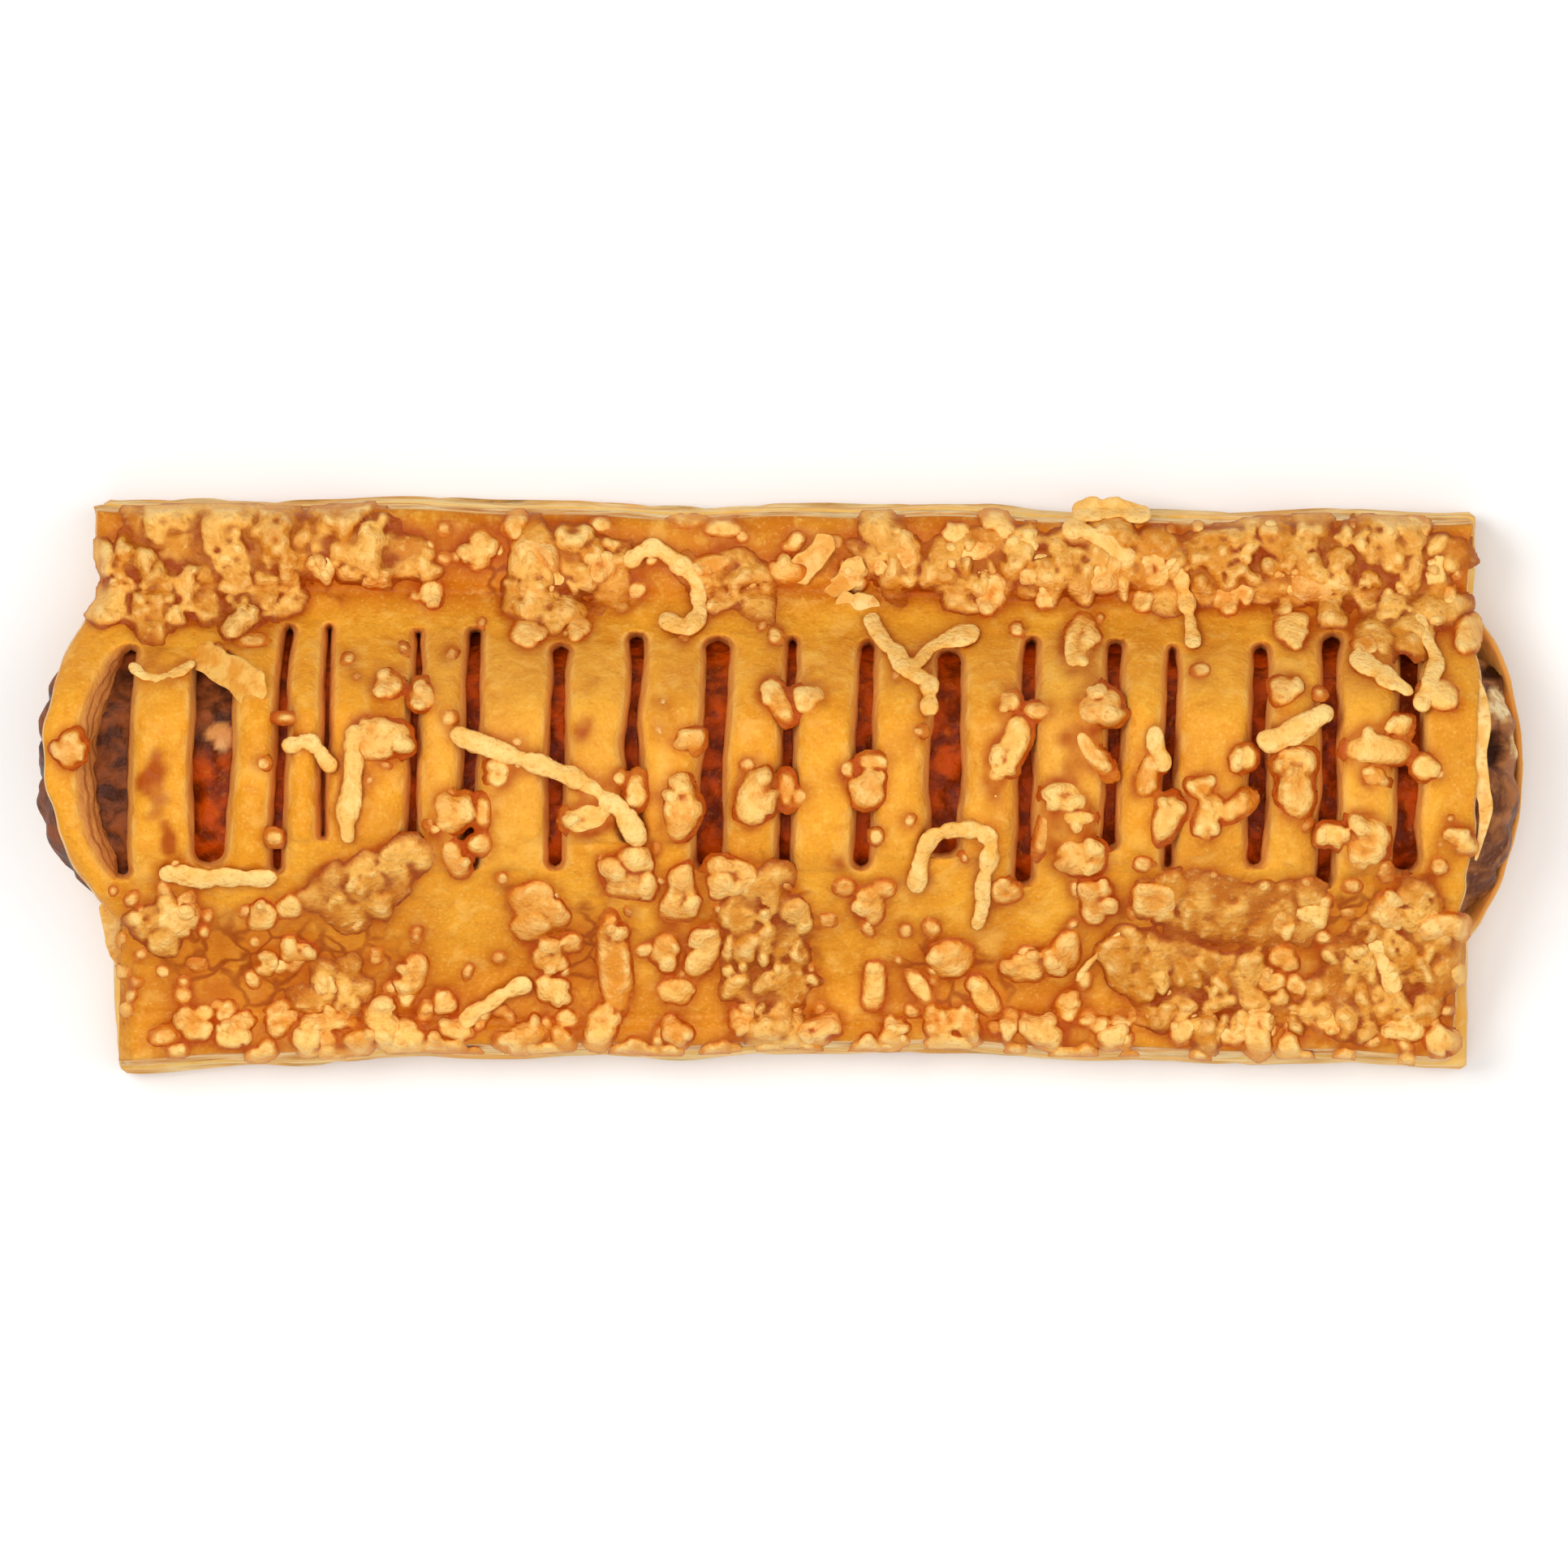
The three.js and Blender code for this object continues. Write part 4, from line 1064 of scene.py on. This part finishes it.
def lid_strands(maps):
    """The lid's top as a grid for each strand between two slits, and where each slit is open."""
    y = lid_rows()
    sides = [slit_sides(slit, n, y) for n, slit in enumerate(SLITS)]
    left = end_x(LID_ENDS, "left", y, PASTRY_BOW) + 0.1 + 0.3 * noise(y, 0, 0, 3, 21)
    right = end_x(LID_ENDS, "right", y, PASTRY_BOW) - 0.6 + 0.8 * rough(y, 0, 0, 6, 22)
    starts = [left] + [side[1] for side in sides]
    stops = [side[0] for side in sides] + [right]
    parted = [side[2] > SLIT_OPEN for side in sides]
    for s, rows in enumerate(parted):
        middle = (stops[s] + starts[s + 1]) / 2
        stops[s] = np.where(rows, stops[s], middle)
        starts[s + 1] = np.where(rows, starts[s + 1], middle)
    shut = np.zeros_like(y)
    openness = [shut] + [side[2] * rows for side, rows in zip(sides, parted)] + [shut]
    strands = []
    for k, (start, stop) in enumerate(zip(starts, stops)):
        width = float(np.median(stop - start))
        inner = np.linspace(0, 1, max(4, round(width / COLUMN)) + 1)
        rims = np.array(RIM_COLUMNS) / width
        share = np.unique(np.concatenate([inner, rims, 1 - rims]))
        x = lerp(start[None], stop[None], share[:, None])
        strands.append(strand_points(k, x, y, share, (openness[k], openness[k + 1]), maps))
    return strands, parted


def strand_points(k, x, y, share, openness, maps):
    """One strand's points and values."""
    low = lower_edge(x) + LID_INSET + 0.2
    high = upper_edge(x) - LID_INSET - 0.2
    flat = np.broadcast_to(y[None], x.shape)
    y = (flat + smooth(flat, LID_FIT, LID_HALF) * (high - LID_HALF)
         + smooth(-flat, LID_FIT, LID_HALF) * (low + LID_HALF))
    both = np.minimum(*openness)[None]
    bow = STRAND_BOW * (1 - (2 * share[:, None] - 1) ** 2)
    lift = both * (STRAND_LIFT * float(noise(k * 1.7, 3, 0, 1, 31)) + bow)
    rim = np.zeros_like(x)
    for side, away in zip(openness, (x - x[:1], x[-1:] - x)):
        near = np.maximum(0, 1 - away / SLIT_RIM_WIDTH) ** 2
        rim = np.maximum(rim, np.minimum(1, 2 * side)[None] * near)
    bubbles = BUBBLE * smooth(rough(x, y, 0, BUBBLE_SIZE, 41), 0.1, 0.6)
    z = crust_top(x, y) + lift + bubbles - SLIT_RIM_DROP * rim
    values = {
        "pale": np.maximum(0.8 * rim * (0.6 + 0.6 * noise(x, y, 0, 1.6, 36)), 0.06 * both),
        "brown": np.clip(sample(maps["brown"], x, y), 0, 1),
        "amber": np.clip(sample(maps["amber"], x, y), 0, 1),
        "film": sample(maps["film"], x, y),
        "tone": both * float(noise(k * 2.3, 8, 0, 1, 32)) + np.zeros_like(x),
    }
    return np.stack([x, y, z], -1), values


def leaves(level, x, y, seed):
    """How far one layer of puff pastry stands out at each place of an edge."""
    return 0.55 * (float(lattice(level, 3, 0, seed)) - 0.5) + 0.4 * noise(x, y, level * 9.1, 6, seed + 1)


def at_end(normals):
    """Where a wall faces along the slice."""
    return np.abs(normals[:, 0]) > 0.7


def pushed(loop, normals, out):
    """Plan points of a layered wall pushed out, less so at the slice's ends."""
    return loop[:, :2] + normals * (out * np.where(at_end(normals), 0.4, 1.0))[:, None]


def lid_outer(share, loop, normals):
    """A ring of the lid's flaky outer wall."""
    x, y, z = loop.T
    level = round(share * LID_LEVELS)
    floor = np.where(at_end(normals), lid_bottom(x, y), SEAL_Z + 0.3 * noise(x, y, 0, 9, 53))
    leaf = leaves(level, x, y, 51)
    plan = pushed(loop, normals, 0.1 + 0.6 * share + 0.7 * leaf * min(1, 3 * share))
    # Recessed layers get painted shade
    values = {"cream": 0.9 + 0.1 * noise(x, y, level * 3.3, 5, 54), "brown": 0.5 * smooth(-leaf, 0.1, 0.45)}
    return np.column_stack([plan, lerp(z, np.minimum(floor, z - 0.5), share)]), values


def lid_slit(share, loop, normals):
    """A ring of a slit's inner wall, which narrows downwards."""
    x, y, z = loop.T
    lean = 2 * SLIT_FLARE * share**0.7 + 0.1 * noise(y, x, share * 14, 1.6, 55)
    slope = smooth(normals[:, 0], 0.2, 0.9) * (x < WINDOW_X)
    plan = loop[:, :2] + normals * (lean * (1 + WINDOW_SLOPE * slope))[:, None]
    depth = lerp(z, dome(x, y) - LID_THICK - 0.6, share)
    return np.column_stack([plan, depth]), {"deep": share, "flaky": slope}


def make_lid(high):
    """The lid's crust, coloured for cheese of the given heights."""
    shell = Shell("pale", "brown", "amber", "film", "tone", "deep", "cream", "flaky")
    strands, parted = lid_strands(lid_maps(high))
    add_sheet(shell, strands, parted, lid_outer, lid_slit, LID_LEVELS, SLIT_LEVELS,
              lambda x, y, z: lid_bottom(x, y))
    return make_object("lid_crust", shell.points, shell.faces, crust_material(), shell.values)


# Base

def right_rim(x, y):
    """1 on the base's rim round the right end and 0 away from it."""
    inward = end_x(BASE_ENDS, "right", y, PASTRY_BOW) - x
    return np.exp(-(inward / LIP_WIDTH) ** 2) * smooth(tongue(y, TONGUE_Y["right"], PASTRY_BOW), 0, 0.3)


def base_outer(share, loop, normals):
    """A ring of the base's flaky outer wall."""
    x, y, z = loop.T
    leaf = leaves(round(share * BASE_LEVELS), x, y, 56)
    bulge = 0.5 * math.sin(math.pi * min(1, 1.2 * share))
    plan = pushed(loop, normals, bulge + leaf * math.sin(math.pi * min(share, 0.96)) - 0.5 * share**6)
    # Painted shade on recessed layers, and browning towards the baked bottom
    brown = np.maximum(0.5 * smooth(-leaf, 0.1, 0.45), 0.6 * share**3)
    values = {"brown": brown, "side": 1.0, "glaze": right_rim(x, y) * (1 - share)}
    return np.column_stack([plan, lerp(z, 0.0, share)]), values


def make_base():
    shell = Shell("brown", "side", "glaze")
    x, y = plain_grid(lower_edge, upper_edge, BASE_ENDS, PASTRY_BOW, *BASE_GRID, 0.5)
    x = x + 0.6 * smooth(np.abs(x), 60, 76) * rough(y, 9 * np.sign(x), 0, 7, 64)
    rim = np.minimum(upper_edge(x) - y, y - lower_edge(x)) - 0.9
    lip = right_rim(x, y)
    z = BASE_TOP - 0.25 * (1 + noise(x, y, 0, 4, 57)) + LIP_RISE * lip + 0.7 * np.exp(-(rim / 0.5) ** 2)
    add_plain_sheet(shell, np.stack([x, y, z], -1), {"glaze": lip}, base_outer, BASE_LEVELS,
                    lambda x, y, z: 0.0)
    return make_object("base_crust", shell.points, shell.faces, layer_material(), shell.values)


# Filling

def spots(x, y, rows, seed):
    """1 inside ragged ovals given by x, y, length and width, and 0 outside them."""
    share = np.zeros_like(x)
    for spot_x, spot_y, length, width in rows:
        out = np.hypot(2 * (x - spot_x) / length, 2 * (y - spot_y) / width)
        share = np.maximum(share, smooth(1 - out + 0.5 * rough(x, y, 0, 1.4, seed), 0, 0.3))
    return share


def filling_spots(x, y):
    """Shares of smear and hole on the filling, and the height that they add; the holes are painted dark as
    shade.
    """
    cream, hole = spots(x, y, SMEARS, 61), spots(x, y, HOLES, 63)
    return cream, hole, SMEAR_RISE * cream - HOLE_DEPTH * hole


def filling_outer(share, loop, normals):
    """A ring of the filling's rounded end."""
    x, y, z = loop.T
    end = np.abs(normals[:, 0]) > 0.3
    bulge = np.where(x > 60, FILLING_ROUND["right"], FILLING_ROUND["left"])
    folds = np.sin(1.3 * y + 9 * share + 2 * noise(x, y, share * 5, 4, 62))
    wrinkles = 0.7 * rough(x, y, share * 11, 3, 58) + 0.35 * folds
    out = np.where(end, bulge + wrinkles, 0) * math.sin(math.pi * share)
    x = x + np.sign(x) * out
    cream, hole, added = filling_spots(x, y)
    z = lerp(z, SEAL_Z, share) + added * (share < 0.7)
    return np.column_stack([x, y, z]), {"bare": end & (x > 0), "dark": x < 0, "cream": cream, "hole": hole}


def make_filling():
    shell = Shell("bare", "cream", "hole", "dark")
    drawn = (FILLING_ROUND["left"], FILLING_ROUND["right"] + 0.4)
    x, y = plain_grid(lambda x: FILLING_LOWER + 0 * x, lambda x: FILLING_UPPER + 0 * x, FILLING_ENDS,
                      FILLING_BOW, *FILLING_GRID, 0.0, drawn)
    near, following, chance = cells(x, y, 3.0, 59)
    chunks = smooth(following - near, 0, 0.5) * (0.4 + 0.6 * chance)
    z = lid_bottom(x, y) - FILLING_DROP - 0.4 + 0.4 * chunks + 0.5 * rough(x, y, 0, 4, 60)
    for n, slit in enumerate(SLITS):
        left, right, _ = slit_sides(slit, n, y)
        z += 0.9 * smooth(np.minimum(x - left, right - x), -0.8, 0.5)
    cream, hole, added = filling_spots(x, y)
    z = np.maximum(z, SEAL_Z + 0.3) + added
    values = {"bare": smooth(x, 75.5, 77.5), "cream": cream * np.where(x < 0, 0.9, 1.0), "hole": hole,
              "dark": np.maximum(smooth(-x, 68, 70), smooth(y, 1, 6) * smooth(-x, 56, 58))}
    add_plain_sheet(shell, np.stack([x, y, z], -1), values, filling_outer, FILLING_LEVELS,
                    lambda x, y, z: SEAL_Z)
    return make_object("filling_log", shell.points, shell.faces, filling_material(), shell.values)


# Flakes

def flake_ground(x, y):
    """The crust's height, carried on level past the lid's ends."""
    return float(crust_top(np.clip(x, *FLAKE_X), y))


def add_flake(shell, width, pale, points, seed):
    """A thin ragged strip of pastry along a path, with its two ends and its edges torn."""
    path = spline(points, FLAKE_GRID[0])
    along = np.gradient(path[:, :2], axis=0)
    along /= np.linalg.norm(along, axis=1, keepdims=True)
    across = np.column_stack([-along[:, 1], along[:, 0]])
    u = np.linspace(0, 1, len(path))
    torn = np.minimum(1, 5 * np.minimum(u, 1 - u) + 0.15)
    sides = []
    for side in (-1, 1):
        ragged = 0.85 + 0.2 * noise(u, side, 0, 0.3, seed) + 0.1 * noise(u, side, 3, 0.1, seed)
        sides.append(side * width / 2 * np.maximum(0.12, ragged * torn))
    offset = lerp(sides[0][:, None], sides[1][:, None], np.linspace(0, 1, FLAKE_GRID[1])[None])
    x = path[:, :1] + across[:, :1] * offset
    y = path[:, 1:2] + across[:, 1:] * offset
    z = path[:, 2:] + 0.3 * noise(x, y, 0, 2.2, seed + 3) + 0.12 * offset**2
    edge = np.minimum(1, np.abs(offset) / (width / 2)) ** 3

    def rim(share, loop, normals):
        return loop - [0, 0, FLAKE_THICK], {"edge": 1.0, "pale": pale}

    add_plain_sheet(shell, np.stack([x, y, z], -1), {"edge": edge, "pale": 0 * x + pale}, rim, 1,
                    lambda x, y, z: z - FLAKE_THICK, 1)


def make_flakes():
    shell = Shell("edge", "pale")
    for n, (width, lift, pale, *places) in enumerate(FLAKES):
        shares = np.linspace(0, 1, len(places))
        path = [(x, y, lerp(*lift, share) + flake_ground(x, y)) for share, (x, y) in zip(shares, places)]
        add_flake(shell, width, pale, path, 400 + 10 * n)
    return make_object("pastry_flakes", shell.points, shell.faces, flake_material(), shell.values)


# Stage

def make_floor():
    corners = [(x * FLOOR_HALF, y * FLOOR_HALF, 0) for x, y in ((-1, -1), (1, -1), (1, 1), (-1, 1))]
    floor = bpy.data.meshes.new("floor")
    floor.from_pydata(corners, [], [(0, 1, 2, 3)])
    n = Nodes("floor")
    colour = n.mix(n.noise(60, 2), (0.92, 0.92, 0.92, 1), (0.95, 0.95, 0.95, 1))
    floor.materials.append(n.finish(colour, 0.7, n.bump(n.noise(1.5), 0.02)))
    floor_obj = bpy.data.objects.new("floor", floor)
    bpy.context.collection.objects.link(floor_obj)


def add_light(name, place, size, power):
    """A square light that shines at the origin."""
    lamp = bpy.data.lights.new(name, "AREA")
    lamp.size = size
    lamp.energy = power
    obj = bpy.data.objects.new(name, lamp)
    obj.location = place
    x, y, z = place
    obj.rotation_euler = (math.atan2(math.hypot(x, y), z), 0, math.atan2(-y, -x) - math.pi / 2)
    bpy.context.collection.objects.link(obj)


def make_stage():
    """Floor, light and a camera straight above."""
    make_floor()
    scene = bpy.context.scene
    scene.view_settings.view_transform = "Standard"
    scene.world = scene.world or bpy.data.worlds.new("world")
    scene.world.use_nodes = True
    background = scene.world.node_tree.nodes["Background"]
    background.inputs["Color"].default_value = (1, 1, 1, 1)
    background.inputs["Strength"].default_value = WORLD_LIGHT
    for name, light in LIGHTS.items():
        add_light(name, *light)
    camera = bpy.data.objects.new("camera", bpy.data.cameras.new("camera"))
    camera.location = (0, 0, CAMERA_Z * MM)
    camera.data.sensor_width = SENSOR
    camera.data.lens = SENSOR * (CAMERA_Z - EDGE_Z) / FRAME_WIDTH
    bpy.context.collection.objects.link(camera)
    scene.camera = camera


def place_piece(piece, node):
    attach(piece, "root")
    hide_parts(node)


# Stage, and cheese on the lid

make_stage()
draw = np.random.default_rng(SEED)
reliefs = {name: Relief() for name in OVERHANG}
raise_lumps(reliefs["lumps"], [*LUMPS, *grain_rows()], draw)
for zone in SCATTER:
    raise_lumps(reliefs["crumbs"], scatter_rows(zone, draw), draw)
for n, row in enumerate(CRUSTS):
    raise_crust(reliefs["crusts"], row, np.random.default_rng(CRUST_SEED + n))
inward = edge_distance(plan_x, plan_y)
for name, past in OVERHANG.items():
    reliefs[name].cut(EDGE_SLOPE * (inward + past))
reliefs["lumps"].clear_under(reliefs["crusts"])
reliefs["crumbs"].clear_under(reliefs["crusts"])
reliefs["crumbs"].clear_under(reliefs["lumps"])
shreds = shred_field(SHREDS)
strips = Relief()
strips.high = np.max(np.where(shreds < 0, axes[2][None, None], NONE), axis=2)
all_high = np.max([relief.high for relief in (*reliefs.values(), strips)], axis=0)

# Pieces

cheese, crust_cheese, shred_cheese = (cheese_material(name) for name in CHEESES)
place_piece(make_lid(all_high), "pastry_lid")
for name, look, merge in (("lumps", cheese, 0.1), ("crumbs", cheese, 0.1), ("crusts", crust_cheese, 0.06)):
    relief = reliefs[name]
    piece = make_cheese("cheese_" + name, height_field(relief.high), look, relief, merge)
    place_piece(piece, "pastry_lid")
place_piece(make_cheese("cheese_shreds", shreds, shred_cheese, strips, 0.02), "pastry_lid")
place_piece(make_flakes(), "pastry_lid")
place_piece(make_filling(), "filling")
place_piece(make_base(), "pastry_base")
